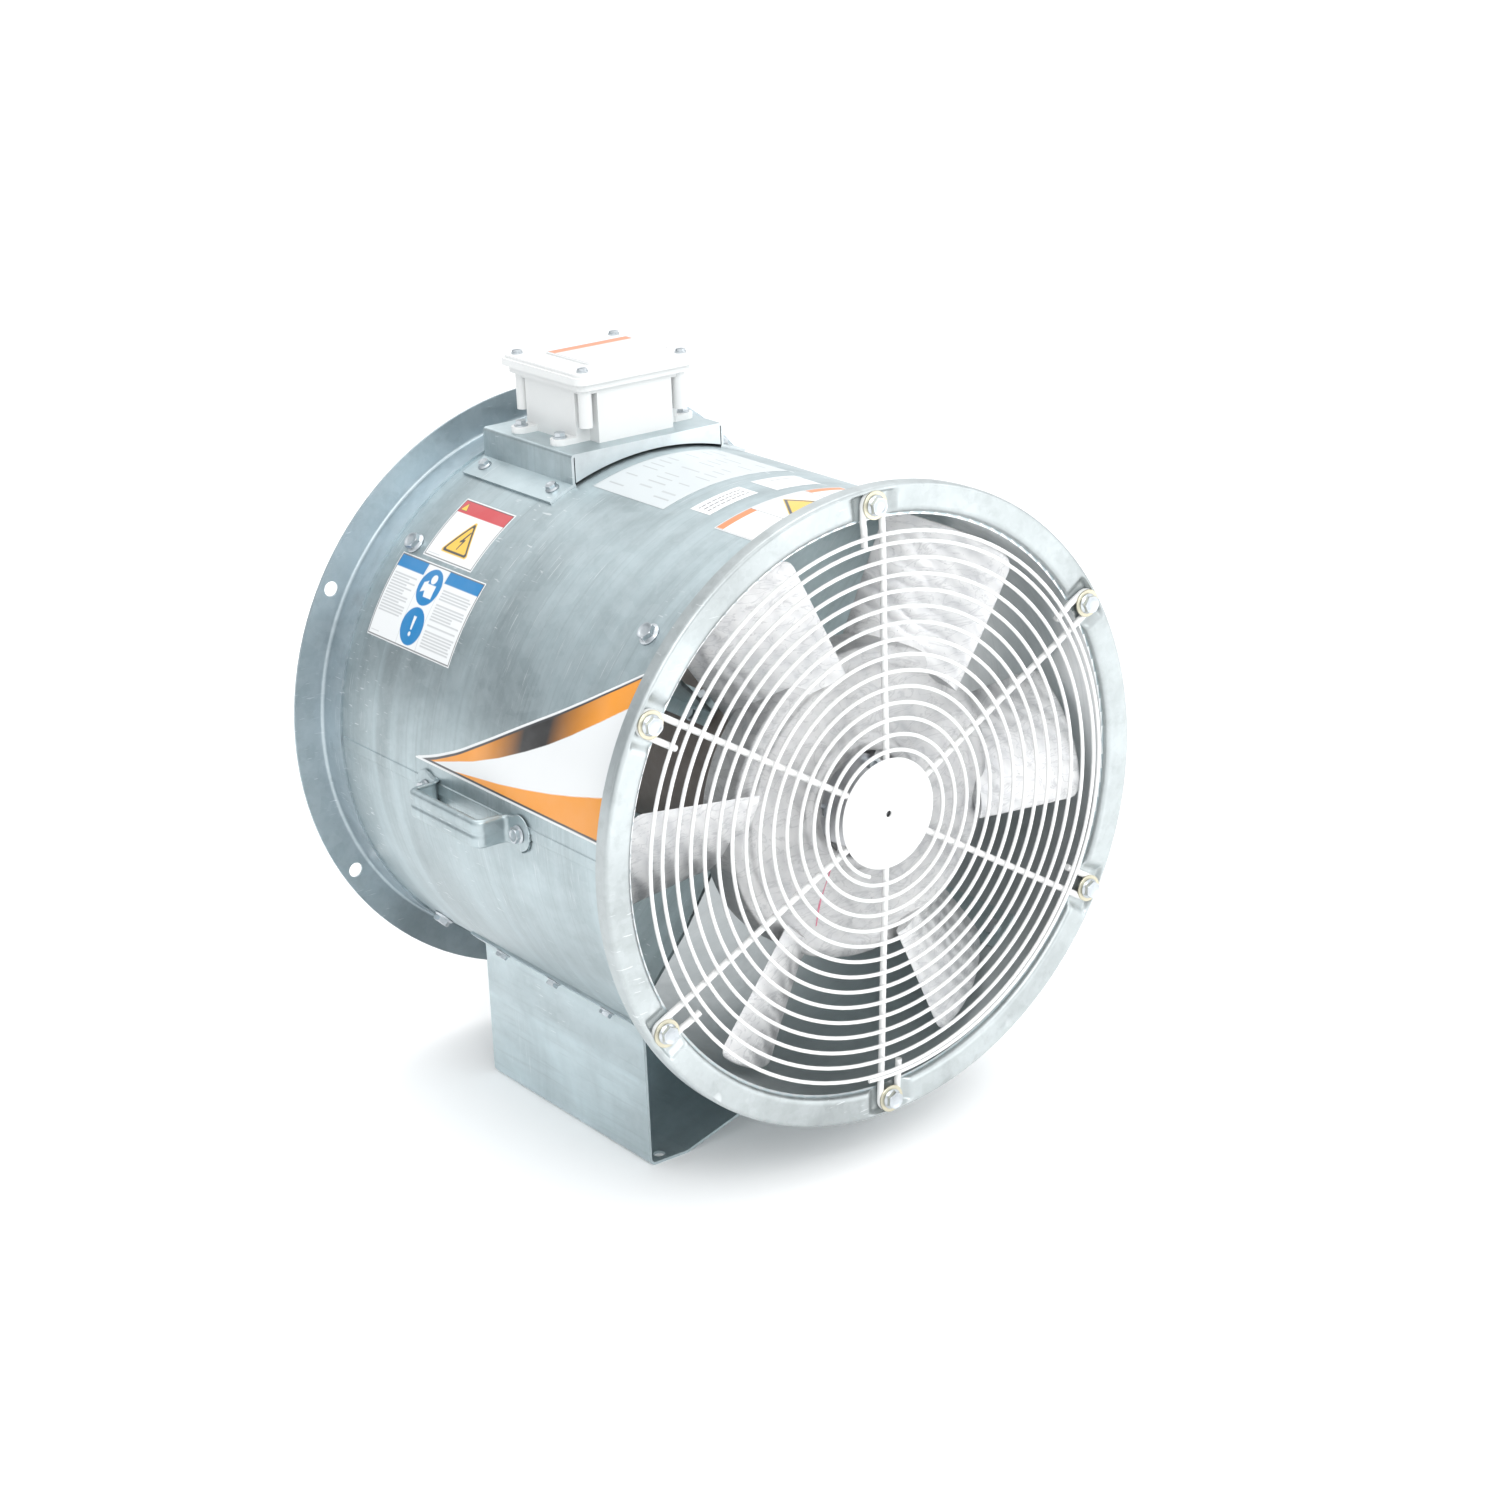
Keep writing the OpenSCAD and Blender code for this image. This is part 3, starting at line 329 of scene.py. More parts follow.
M = {
    "galv": galvanized("galvanized_sheet"),
    "galv_base": galvanized("galvanized_base", tone=(0.50, 0.585, 0.61), streak=(12, 12, 260), band=(4, 4, 30)),
    "galv_ring": galvanized("galvanized_ring", tone=(0.41, 0.445, 0.45), streak=(60, 60, 60), band=(9, 9, 9)),
    "galv_flange": galvanized("galvanized_flange", tone=(0.40, 0.47, 0.505), streak=(60, 60, 60), band=(9, 9, 9)),
    # a lighter copy of the galvanized finish, painted highlight for the front faces of the box bracket
    "galv_front_painted_highlight": galvanized("galvanized_front_painted_highlight", tone=(0.70, 0.745, 0.76), streak=(60, 60, 60)),
    # the bore: a much lighter copy of the galvanized finish as painted light, darkened towards the bottom as painted
    # shade
    "galv_bore_painted_light_and_shade": galvanized("galvanized_bore_painted_light_and_shade", tone=(0.86, 0.89, 0.895), streak=(5, 330, 5), painted_bottom_shade=(0.30, 0.34, 0.35)),
    "galv_dark": galvanized("galvanized_inner", tone=(0.34, 0.415, 0.43), streak=(9, 260, 9)),
    "white": coat("guard_coating", (0.78, 0.785, 0.78), 0.34),
    "zinc": plated("bright_zinc", (0.60, 0.64, 0.67)),
    "zinc_y": plated("yellow_zinc", (0.66, 0.625, 0.49), 0.32),
    "alu": cast_aluminium("sanded_casting"),
    "alu_hub": cast_aluminium("sanded_hub", 0.76),
    "pvc": plastic("box_plastic", (0.775, 0.785, 0.78)),
    "black": plastic("black_moulding", (0.030, 0.030, 0.034), 0.42),
    "foam": plastic("foam_gasket", (0.05, 0.05, 0.055), 0.8, 900, 0.6),
    "jacket": plastic("lead_jacket", (0.018, 0.018, 0.02), 0.5, 500, 0.3),
    "green": plated("green_screw", (0.16, 0.42, 0.20), 0.35, 0.6),
    "motor": enamel("motor_enamel", (0.25, 0.215, 0.195)),
    "steel": steel("ground_steel", (0.60, 0.61, 0.63)),
    "lam": laminated("lamination", (0.34, 0.34, 0.36)),
    "copper": copper_wire("varnished_copper"),
    "rubber": plastic("moulded_rubber", (0.02, 0.02, 0.02), 0.6, 700, 0.4),
}

# --------------------------------------------------- finish of CAD nodes ----
FINISH = {
    "housing_tube": "galv", "inlet_ring": "galv_ring", "outlet_flange": "galv_flange", "base_stand": "galv_base",
    "base_screws": "zinc", "base_nuts": "zinc", "guard_nuts": "zinc", "handle_nuts": "zinc", "handle_bolts": "zinc",
    "box_bracket": "galv_base", "bracket_screws": "zinc", "junction_box": "pvc", "box_gasket": "foam", "box_lid": "pvc",
    "lid_screws": "zinc", "box_screws": "zinc", "wire_nipple": "zinc", "nipple_locknuts": "zinc", "terminal_block": "black",
    "ground_screw": "green", "motor_lead": "jacket", "cable_gland": "black", "support_vanes": "galv_dark", "vane_bolts": "zinc",
    "clinch_nuts": "zinc", "vane_motor_bolts": "zinc", "motor_shell": "motor", "motor_end_front": "motor", "motor_end_rear": "motor",
    "motor_tie_rods": "zinc", "stator_core": "lam", "stator_windings": "copper", "bearing_outer_front": "steel",
    "bearing_outer_rear": "steel", "preload_washer": "steel", "fan_wheel": "alu", "hub_bushing": "steel", "bushing_screws": "zinc",
    "shaft_key": "steel", "motor_shaft": "steel", "rotor_core": "lam", "rotor_cage": "alu", "bearing_inner_front": "steel",
    "bearing_inner_rear": "steel", "bearing_balls_front": "steel", "bearing_balls_rear": "steel", "water_slinger": "rubber",
    "guard_spiral": "white", "guard_spokes": "white", "guard_disc": "white", "guard_bolts": "zinc", "guard_washers": "zinc_y",
    "handle_left": "galv", "handle_right": "galv",
}
BEVEL = {"base_stand": 0.0005, "box_bracket": 0.0005, "junction_box": 0.0012, "box_lid": 0.0014, "outlet_flange": 0.0004,
         "motor_end_rear": 0.002, "motor_end_front": 0.002, "support_vanes": 0.0004, "terminal_block": 0.0005}


def smooth_by_angle(o, deg=32):
    for p in o.data.polygons:
        p.use_smooth = True
    if hasattr(o.data, "set_sharp_from_angle"):
        o.data.set_sharp_from_angle(angle=R(deg))


for name, o in nodes.items():
    m = M[FINISH[name]]
    o.data.materials.clear()
    o.data.materials.append(m)
    for p in o.data.polygons:
        p.material_index = 0
    if name == "housing_tube":
        # the bore side of the sheet, in a much lighter copy of the galvanized finish as painted light, with painted
        # shade towards the bottom of the bore
        o.data.materials.append(M["galv_bore_painted_light_and_shade"])
        for p in o.data.polygons:
            c = p.center
            if math.hypot(c.x, c.z - AXIS_Z) < 0.2296:
                p.material_index = 1
    if name == "box_bracket":
        # the sheet's grain runs another way on each folded side; the faces towards the front also get a lighter copy of
        # the finish as painted highlight, and the folded sides a darker one as painted shade
        o.data.materials.append(M["galv_front_painted_highlight"])
        o.data.materials.append(M["galv"])
        for p in o.data.polygons:
            if p.normal.y < -0.5:
                p.material_index = 1
            elif abs(p.normal.x) > 0.6:
                p.material_index = 2
    if name in BEVEL:
        b = o.modifiers.new("edge", "BEVEL")
        b.width = BEVEL[name]
        b.segments = 2
        b.limit_method = "ANGLE"
        b.angle_limit = R(40)
        b.harden_normals = True

# ------------------------------------------------------- mesh helpers ------
def make(name, verts, faces, mat, body="housing", smooth=True, sharp=35, replaces=(), mats=None, fmat=None):
    me = bpy.data.meshes.new(name)
    me.from_pydata([tuple(v) for v in verts], [], faces)
    me.update()
    bm = bmesh.new()
    bm.from_mesh(me)
    bmesh.ops.recalc_face_normals(bm, faces=bm.faces)
    bm.to_mesh(me)
    bm.free()
    for m in (mats or [mat]):
        me.materials.append(m)
    if fmat:
        for p, i in zip(me.polygons, fmat):
            p.material_index = i
    o = bpy.data.objects.new(name, me)
    bpy.context.scene.collection.objects.link(o)
    if smooth:
        smooth_by_angle(o, sharp)
    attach(o, body)
    if replaces:
        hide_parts(*replaces)
    return o


def tube_mesh(pts, rad, sides=14, closed=False, caps=True):
    """Vertices and faces of a round wire along pts, in the order given."""
    n = len(pts)
    tang = []
    for i in range(n):
        a = pts[(i - 1) % n] if closed or i > 0 else pts[i]
        b = pts[(i + 1) % n] if closed or i < n - 1 else pts[i]
        tang.append((b - a).normalized())
    ref = Vector((0, 1, 0)) if abs(tang[0].y) < 0.9 else Vector((1, 0, 0))
    nrm = (ref - tang[0] * ref.dot(tang[0])).normalized()
    verts, faces = [], []
    for i in range(n):
        nrm = (nrm - tang[i] * nrm.dot(tang[i])).normalized()
        bi = tang[i].cross(nrm)
        r = rad[i] if isinstance(rad, list) else rad
        for k in range(sides):
            a = 2 * math.pi * k / sides
            verts.append(pts[i] + (nrm * math.cos(a) + bi * math.sin(a)) * r)
    for i in range(n if closed else n - 1):
        j = (i + 1) % n
        for k in range(sides):
            k2 = (k + 1) % sides
            faces.append((i * sides + k, i * sides + k2, j * sides + k2, j * sides + k))
    if caps and not closed:
        faces.append(tuple(range(sides))[::-1])
        faces.append(tuple((n - 1) * sides + k for k in range(sides)))
    return verts, faces


def join(parts):
    verts, faces = [], []
    for v, f in parts:
        o = len(verts)
        verts += list(v)
        faces += [tuple(i + o for i in q) for q in f]
    return verts, faces


def moved(part, m):
    return [m @ v for v in part[0]], part[1]


def ring_stack(rings, cap_first=True, cap_last=True):
    """Faces between rings of equal length; rings is a list of lists of points."""
    n = len(rings[0])
    verts = [v for r in rings for v in r]
    faces = []
    for i in range(len(rings) - 1):
        for k in range(n):
            k2 = (k + 1) % n
            faces.append((i * n + k, i * n + k2, (i + 1) * n + k2, (i + 1) * n + k))
    if cap_first:
        faces.append(tuple(range(n))[::-1])
    if cap_last:
        faces.append(tuple((len(rings) - 1) * n + k for k in range(n)))
    return verts, faces


def circle_pts(r, z, n=72):
    return [Vector((r * math.cos(2 * math.pi * k / n), r * math.sin(2 * math.pi * k / n), z)) for k in range(n)]


def hex_flange_head(af, flange_d, h, flange_t, n=72):
    """Hex flange head in mm: seat at z 0, top at h, chamfered and lightly dished."""
    fr = flange_d / 2

    def hexring(z, lim):
        out = []
        for k in range(n):
            a = 2 * math.pi * k / n
            b = (a + math.pi / 6) % (math.pi / 3) - math.pi / 6
            r = min(af / 2 / math.cos(b), lim)
            out.append(Vector((r * math.cos(a), r * math.sin(a), z)))
        return out
    c = af / math.sqrt(3)
    rings = [circle_pts(fr - 0.5, 0), circle_pts(fr, 0.25), circle_pts(fr, flange_t * 0.55), circle_pts(fr - 0.4, flange_t * 0.85),
             hexring(flange_t * 1.5, 99), hexring(flange_t * 1.7, 99)]
    for dz in (1.1, 0.8, 0.5, 0.25, 0.0):
        rings.append(hexring(h - dz, c * 0.90 + dz * 1.0))
    rings += [circle_pts(af * 0.40, h - 0.02), circle_pts(af * 0.36, h - 0.35), circle_pts(af * 0.2, h - 0.5)]
    return ring_stack(rings)


def nut(af, h, hole, n=72):
    def hexring(z, lim):
        out = []
        for k in range(n):
            a = 2 * math.pi * k / n
            b = (a + math.pi / 6) % (math.pi / 3) - math.pi / 6
            r = min(af / 2 / math.cos(b), lim)
            out.append(Vector((r * math.cos(a), r * math.sin(a), z)))
        return out
    c = af / math.sqrt(3)
    rings = [circle_pts(hole, 0)]
    rings += [hexring(z, c * 0.9 + z * 1.1) for z in (0.0, 0.4, 0.9)]
    rings += [hexring(h - z, c * 0.9 + z * 1.1) for z in (0.9, 0.4, 0.0)]
    rings += [circle_pts(hole, h)]
    rings.append(rings[0])
    return ring_stack(rings, False, False)


def scaled(part, s=0.001):
    return [v * s for v in part[0]], part[1]


def place_out(part, origin, out, spin=0.0):
    """Puts a part built along +z at origin, pointing along out."""
    z = out.normalized()
    x = Vector((0, 1, 0)).cross(z)
    if x.length < 0.1:
        x = Vector((1, 0, 0))
    x.normalize()
    y = z.cross(x)
    m = Matrix(((x.x, y.x, z.x, origin.x), (x.y, y.y, z.y, origin.y), (x.z, y.z, z.z, origin.z), (0, 0, 0, 1)))
    return moved(part, m @ Matrix.Rotation(spin, 4, "Z"))


# ------------------------------------------------------------- guard -------
def lerp_table(tab, x):
    if x <= tab[0][0]:
        return tab[0][1]
    for (a, fa), (b, fb) in zip(tab, tab[1:]):
        if x <= b:
            u = (x - a) / (b - a)
            return fa + (fb - fa) * u
    return tab[-1][1]


SPOKE_Y = [(0, -4.9), (44, -4.0), (76, -2.8), (109, -1.7), (142, -0.8), (175, -0.15), (200, 0.35), (216, 0.95), (228, 1.8), (240, 2.35), (260, 2.35)]


def spoke_y(r):
    # eased version of the table, so that the wire has no kinks
    return sum(lerp_table(SPOKE_Y, r + d) for d in (-14, -7, 0, 7, 14)) / 5


def wire_y(r):
    return spoke_y(r) - 4.05


def spiral_radius(th):
    """Radius of the wire at th degrees, counted back from its free outer end."""
    # th = 0 at the outer end (polar angle 264), growing as the wire winds in
    if th <= 360:
        return 219.4 - 3.4 * (th / 360)
    r = 216 - 12.3 * (th - 360) / 360
    return r


pts = []
th = 0.0
while True:
    r = spiral_radius(th)
    if r < 50.6:
        r = 50.2 + 0.4 * math.exp(-(50.6 - r) * 1.2)
    ang = -96 + th
    pts.append(pol(r, ang, wire_y(r)))
    if th > 360 + 360 * 13.45 + 178:
        break
    th += 3.0
wire = tube_mesh(pts, 0.00155, 12)
spiral = make("guard_spiral_wire", *wire, M["white"], replaces=("guard_spiral",))

parts = []
welds = []
HOOK = 8.6
for k in range(6):
    a0 = 30 + 60 * k - math.degrees(math.asin(HOOK / 240.6))
    tp = 240.6 * math.cos(R(30 + 60 * k - a0))
    e = Vector((math.cos(R(a0)), math.sin(R(a0))))
    f = Vector((-e.y, e.x))

    def w(x, y):
        p = e * x + f * y
        return p
    path = []
    for i in range(58):
        x = 12 + (tp - 12) * i / 57
        path.append((w(x, 0), spoke_y(x)))
    for i in range(1, 25):
        t = -90 + 180 * i / 24
        path.append((w(tp + HOOK * math.cos(R(t)), HOOK + HOOK * math.sin(R(t))), 2.4))
    for i in range(1, 10):
        x = tp - 31 * i / 9
        path.append((w(x, 2 * HOOK), spoke_y(x) if x < 226 else 2.4))
    ps = [pt(p.x, y, p.y) for p, y in path]
    parts.append(tube_mesh(ps, 0.0026, 16))
spokes = make("guard_spoke_wires", *join(parts), M["white"], replaces=("guard_spokes",))

# small fused weld beads where the spiral crosses the spokes
rnd = random.Random(5)
for k in range(6):
    a0 = 30 + 60 * k - math.degrees(math.asin(HOOK / 240.6))
    for side in (0, 1):
        for n in range(0, 16):
            # spiral radius where it crosses polar angle a0
            base = (a0 + 96) % 360
            th = base + 360 * n
            if th > 360 + 360 * 13.45 + 178:
                continue
            r = spiral_radius(th)
            if r < 50.6:
                r = 50.2
            if side:
                # the returned tail crosses only the outer turns
                if r < 209.5 or r > 236:
                    continue
                off = 2 * HOOK
            else:
                off = 0.0
            e = Vector((math.cos(R(a0)), math.sin(R(a0))))
            f = Vector((-e.y, e.x))
            x = math.sqrt(max(1, r * r - off * off))
            c = e * x + f * off
            y = spoke_y(x) - 2.35
            ring = []
            for z, s in ((-0.55, 0.62), (-0.2, 0.95), (0.15, 1.0), (0.6, 0.8)):
                ring.append([pt((c + e * (1.9 + 0.3 * rnd.random()) * s * math.cos(R(t)) + f * 2.5 * s * math.sin(R(t))).x, y + z,
                                (c + e * (1.9 + 0.3 * rnd.random()) * s * math.cos(R(t)) + f * 2.5 * s * math.sin(R(t))).y) for t in range(0, 360, 30)])
            welds.append(ring_stack(ring))
make("guard_welds", *join(welds), M["white"])

# centre disc, pressed, with a small locating hole
prof = [(2.7, -6.3), (2.7, -7.7), (3.3, -8.15), (20, -8.2), (38, -8.1), (42.3, -7.9), (43.5, -7.4), (44, -6.9), (43.7, -6.4), (42.5, -6.2), (20, -6.25)]
rings = [[pol(r, a * 3.0, y) for a in range(120)] for r, y in prof + prof[:1]]
make("guard_centre_disc", *ring_stack(rings, False, False), M["white"], replaces=("guard_disc",), sharp=50)

head = scaled(hex_flange_head(12.7, 16.2, 5.7, 1.5))
parts, wash = [], []
for k in range(6):
    c = pol(240.6, 30 + 60 * k, -1.8)
    parts.append(place_out(head, c, Vector((0, -1, 0)), rnd.uniform(0, 1)))
    shank = scaled(ring_stack([circle_pts(3.9, -18, 32), circle_pts(3.9, 0.2, 32)]))
    parts.append(place_out(shank, c, Vector((0, -1, 0))))
    wr = ring_stack([circle_pts(4.4, 0), circle_pts(10.8, 0), circle_pts(11.0, 0.3), circle_pts(11.0, 1.3), circle_pts(10.7, 1.6), circle_pts(4.4, 1.6), circle_pts(4.4, 0)], False, False)
    wash.append(place_out(scaled(wr), pol(240.6, 30 + 60 * k, -0.2), Vector((0, -1, 0))))
make("guard_bolt_set", *join(parts), M["zinc"], replaces=("guard_bolts",))
make("guard_washer_set", *join(wash), M["zinc_y"], replaces=("guard_washers",))

# flange screws of the base, vanes and handles, with shanks kept
OUT_R = 230.5


def screw_set(name, sites, af, fd, h, ft, shank_r, shank_l, node, mat="zinc"):
    hd = scaled(hex_flange_head(af, fd, h, ft))
    sh = scaled(ring_stack([circle_pts(shank_r, -shank_l, 32), circle_pts(shank_r, 0.2, 32)]))
    parts = []
    for i, (o, d) in enumerate(sites):
        parts.append(place_out(hd, o, d, 0.37 * i + 0.2))
        parts.append(place_out(sh, o, d))
    make(name, *join(parts), M[mat], replaces=(node,))


def rad(a, y, r):
    return pol(r, a, y), Vector((math.cos(R(a)), 0, math.sin(R(a))))


screw_set("base_screw_set", [rad(a, y, OUT_R + 2.3) for a in (227.2, 312.8) for y in (155.5, 231.5, 307.5)], 9.5, 13, 4.6, 1.1, 3.1, 14, "base_screws")
screw_set("vane_bolt_set", [rad(a, y, OUT_R) for a in (45, 135, 225, 315) for y in (61.4, 391)], 12.7, 18, 6.6, 1.7, 3.9, 7, "vane_bolts")
screw_set("handle_bolt_set", [rad(a, y, OUT_R + 2.3) for a in (0, 180) for y in (148.5, 282.5)], 11.1, 14.5, 5.4, 1.3, 3.1, 13, "handle_bolts")
screw_set("bracket_screw_set", [rad(a, y, OUT_R + 2.3) for a in (113.2, 71.3) for y in (293, 393)], 8, 11.5, 4.6, 1.2, 2.35, 10, "bracket_screws")


# -------------------------------------------------------------- wheel ------
def ease(t):
    t = max(0.0, min(1.0, t))
    return t * t * (3 - 2 * t)


HUB_R, TIP_R = 125.0, 221.0
TURN = 60.2
BLADE_MID = 43.0


def blade_part(phi0):
    rings = []
    radii = [112, 118, 123, 126, 129, 134, 142, 152, 164, 176, 188, 198, 206, 212, 216, 218.5, 220.2, 221.0]
    m = 40
    for r in radii:
        u = (r - 112) / (TIP_R - 112)
        chord = 98 + 12 * u
        pitch = R(39 - 12 * u)
        camber = 0.085
        thick = 5.2 - 1.8 * u + 6.0 * (1 - ease((r - 120) / 16.0))
        lead_in = trail_in = 0.0
        d = r - (TIP_R - 9)
        if d > 0:
            # rounded corners at the tip
            lead_in = 9 - math.sqrt(max(0.0, 9 * 9 - d * d))
            trail_in = lead_in * 0.9
        d = TIP_R - r
        if d < 1.6:
            thick *= max(0.35, math.sqrt(max(0.0, 1 - ((1.6 - d) / 1.75) ** 2)))
        x0, x1 = -chord / 2 + lead_in, chord / 2 - trail_in
        up, lo = [], []
        for i in range(m + 1):
            s = 0.5 - 0.5 * math.cos(math.pi * i / m)
            x = x0 + (x1 - x0) * s
            q = (x + chord / 2) / chord
            mid = 4 * camber * chord * q * (1 - q)
            edge = min(1.0, math.sqrt(max(0.0, s) / 0.05)) * min(1.0, math.sqrt(max(0.0, 1 - s) / 0.10))
            half = thick / 2 * (0.30 + 0.70 * math.sin(math.pi * min(1, max(0, q)) ** 0.7)) * edge
            half = max(half, 0.0)
            up.append((x, mid + half))
            lo.append((x, mid - half))
        sec = up + lo[-2:0:-1]
        pts = []
        for x, z in sec:
            # x runs round the wheel from the leading edge, z towards the inlet
            cx = x * math.cos(pitch) + z * math.sin(pitch)
            cy = x * math.sin(pitch) - z * math.cos(pitch)
            ang = phi0 - math.degrees(cx / r) * -1.0
            pts.append((r, ang, cy))
        rings.append(pts)
    out = []
    for ring in rings:
        out.append([pol(r, a, BLADE_MID + y) for r, a, y in ring])
    return ring_stack(out)


blades = [blade_part(60 * k + TURN) for k in range(6)]
bl = make("wheel_blades", *join(blades), M["alu"], body="rotor", sharp=60)


def lathe(prof, n=180, closed=True):
    rings = [[pol(r, a * 360 / n, y) for a in range(n)] for r, y in (prof + prof[:1] if closed else prof)]
    return ring_stack(rings, False, False)


def rounded(prof, rad=2.0, seg=4):
    """Rounds the corners of a closed (r, y) outline."""
    out = []
    n = len(prof)
    for i in range(n):
        p0, p, p1 = Vector(prof[i - 1]), Vector(prof[i]), Vector(prof[(i + 1) % n])
        a, b = (p0 - p), (p1 - p)
        q = min(rad, a.length * 0.45, b.length * 0.45)
        a.normalize()
        b.normalize()
        s, e = p + a * q, p + b * q
        for k in range(seg + 1):
            t = k / seg
            v = s * (1 - t) ** 2 + p * 2 * t * (1 - t) + e * t * t
            out.append((v.x, v.y))
    return out


hub = rounded([(38, 71), (24, 71), (24, 40), (37.2, 40), (42, 40), (42, 21.5), (50, 21), (54, 23.5), (106, 23.5), (111, 21.2), (117, 21), (124.5, 25), (125, 33),
               (125, 62), (117, 62), (117, 33), (112, 29), (49, 29), (48, 48), (38, 48)], 2.2)
ribs = []
for k in range(6):
    a = 60 * k + TURN
    c, s = math.cos(R(a)), math.sin(R(a))

    def rp(r, w, y):
        return pt(r * c - w * s, y, r * s + w * c)
    rings = [[rp(r, -3.4, 28), rp(r, 3.4, 28), rp(r, 2.6, y1), rp(r, 1.2, y1 + 0.8), rp(r, -1.2, y1 + 0.8), rp(r, -2.6, y1)] for r, y1 in ((36, 56), (60, 56), (90, 55), (118, 55))]
    ribs.append(ring_stack(rings))
make("wheel_hub", *join([lathe(hub)] + ribs), M["alu_hub"], body="rotor", replaces=("fan_wheel",), sharp=30)
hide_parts("fan_wheel")


# -------------------------------------------------------------- labels -----
# Stuck-on sheets without lettering. Each is a fine grid that follows the
# sheet below it and is coloured by drawing rules in its own millimetres:
# u from its left edge, v down from its top edge.
import numpy as np


class Ink:
    def __init__(self, u, v, w, h, base, soft=0.45):
        self.u, self.v, self.w, self.h, self.soft = u, v, w, h, soft
        self.c = np.empty(u.shape + (3,))
        self.c[:] = base

    def lay(self, dist, color):
        """Lays colour where the distance is negative, with a soft edge."""
        k = np.clip(0.5 - dist / self.soft, 0, 1)[..., None]
        self.c = self.c * (1 - k) + np.asarray(color) * k

    def rect(self, u0, v0, u1, v1, color, turn=0.0):
        d = np.maximum(np.maximum(u0 - self.u, self.u - u1), np.maximum(v0 - self.v, self.v - v1))
        self.lay(d, color)

    def frame(self, inset, wide, color):
        d = np.minimum(np.minimum(self.u, self.w - self.u), np.minimum(self.v, self.h - self.v))
        self.lay(np.abs(d - inset - wide / 2) - wide / 2, color)

    def disc(self, u, v, r, color, squash=1.0):
        self.lay(np.hypot(self.u - u, (self.v - v) * squash) - r, color)

    def tri(self, u, v, r, color, corner=1.0):
        """Rounded triangle that points up, centred at u, v."""
        d = None
        for a in (90, 210, 330):
            x, y = math.cos(R(a)), math.sin(R(a))
            e = (self.u - u) * x + (self.v - v) * y
            d = e if d is None else np.maximum(d, e)
        q = np.hypot(self.u - u, self.v - v) - 2 * r + corner
        self.lay(np.maximum(d - r, q), color)

    def poly(self, pts, color):
        """Convex polygon, clockwise on the label."""
        d = None
        for (x0, y0), (x1, y1) in zip(pts, pts[1:] + pts[:1]):
            ln = math.hypot(x1 - x0, y1 - y0)
            e = ((self.u - x0) * (y1 - y0) - (self.v - y0) * (x1 - x0)) / ln
            d = e if d is None else np.maximum(d, e)
        self.lay(d, color)

    def lines(self, u0, v0, u1, v1, pitch, color, seed, thick=0.5):
        """Grey bars in place of print."""
        rnd = random.Random(seed)
        v = v0
        while v < v1 - pitch * 0.5:
            if rnd.random() > 0.14:
                self.rect(u0, v, u1 - (u1 - u0) * rnd.choice((0.02, 0.05, 0.1, 0.32)), v + pitch * thick, color)
            v += pitch


WHITE, DARK, GREY = (0.76, 0.775, 0.78), (0.035, 0.035, 0.04), (0.50, 0.51, 0.52)
ORANGE, RED, BLUE, YELLOW = (0.80, 0.29, 0.010), (0.53, 0.045, 0.055), (0.0, 0.185, 0.45), (0.80, 0.49, 0.045)

lb = Tree("label_print")
lb_col = lb.t.nodes.new("ShaderNodeVertexColor")
lb_col.layer_name = "Col"
lb_tone = lb.mix(lb.span(lb.noise(30, 3), 0.0, 0.06, 0.3, 0.7), lb_col.outputs["Color"], (0.62, 0.64, 0.65))
lb.set(Base_Color=lb_tone, Roughness=lb.span(lb.noise(200, 2), 0.30, 0.42), Coat_Weight=0.25, Coat_Roughness=0.2)
lb.set(Normal=lb.bump(lb.noise(120, 2), 0.06, 0.0003))
M["label"] = lb.m


def label(name, place, w, h, step, draw, base=WHITE, lift=0.10):
    """A closed sheet of grid points; place(s, t, z) gives a point for the shares s, t."""
    nu, nv = max(2, round(w / step)), max(2, round(h / step))
    s, t = np.meshgrid(np.linspace(0, 1, nu + 1), np.linspace(0, 1, nv + 1))
    ink = Ink(s * w, t * h, w, h, base)
    draw(ink)
    verts, faces = [], []
    for j in range(nv + 1):
        for i in range(nu + 1):
            verts.append(place(i / nu, j / nv, lift))
    k = nu + 1
    for j in range(nv):
        for i in range(nu):
            faces.append((j * k + i, (j + 1) * k + i, (j + 1) * k + i + 1, j * k + i + 1))
    rim = [i for i in range(nu + 1)] + [j * k + nu for j in range(1, nv + 1)] + [nv * k + i for i in range(nu - 1, -1, -1)] + [j * k for j in range(nv - 1, 0, -1)]
    o = make(name, verts, faces, M["label"])
    attr = o.data.color_attributes.new(name="Col", type="FLOAT_COLOR", domain="POINT")
    rgba = np.ones((len(verts), 4))
    rgba[:, :3] = ink.c.reshape(-1, 3)
    attr.data.foreach_set("color", rgba.ravel())
    sol = o.modifiers.new("thickness", "SOLIDIFY")
    sol.thickness = 0.00009
    sol.offset = -1
    return o


def on_tube(a0, a1, y_left, y_right, r=230.5):
    """Places a label's shares on the housing: top edge at angle a0, left edge at depth y_left."""
    return lambda s, t, z: pol(r + z, a0 + (a1 - a0) * t, y_left + (y_right - y_left) * s)


# long pennant along the left side
def pennant_top(y):
    x = [31.0, 61.3, 90.8, 120.0, 155.8, 194.5, 237.3, 270.0, 300.6]
    a = [140.0, 145.3, 150.1, 154.4, 159.1, 164.1, 169.3, 172.4, 174.65]
    return float(np.interp(y, x, a))


def smooth_top(y):
    return sum(pennant_top(y + d) for d in (-9, -6, -3, 0, 3, 6, 9)) / 7


PEN_Y0, PEN_Y1 = 300.6, 31.0


def pennant_place(s, t, z):
    y = PEN_Y0 + (PEN_Y1 - PEN_Y0) * s
    top = min(174.7, smooth_top(min(297, max(40, y))) if 40 < y < 297 else pennant_top(y))
    return pol(230.5 + z, top + (174.95 - top) * t, y)


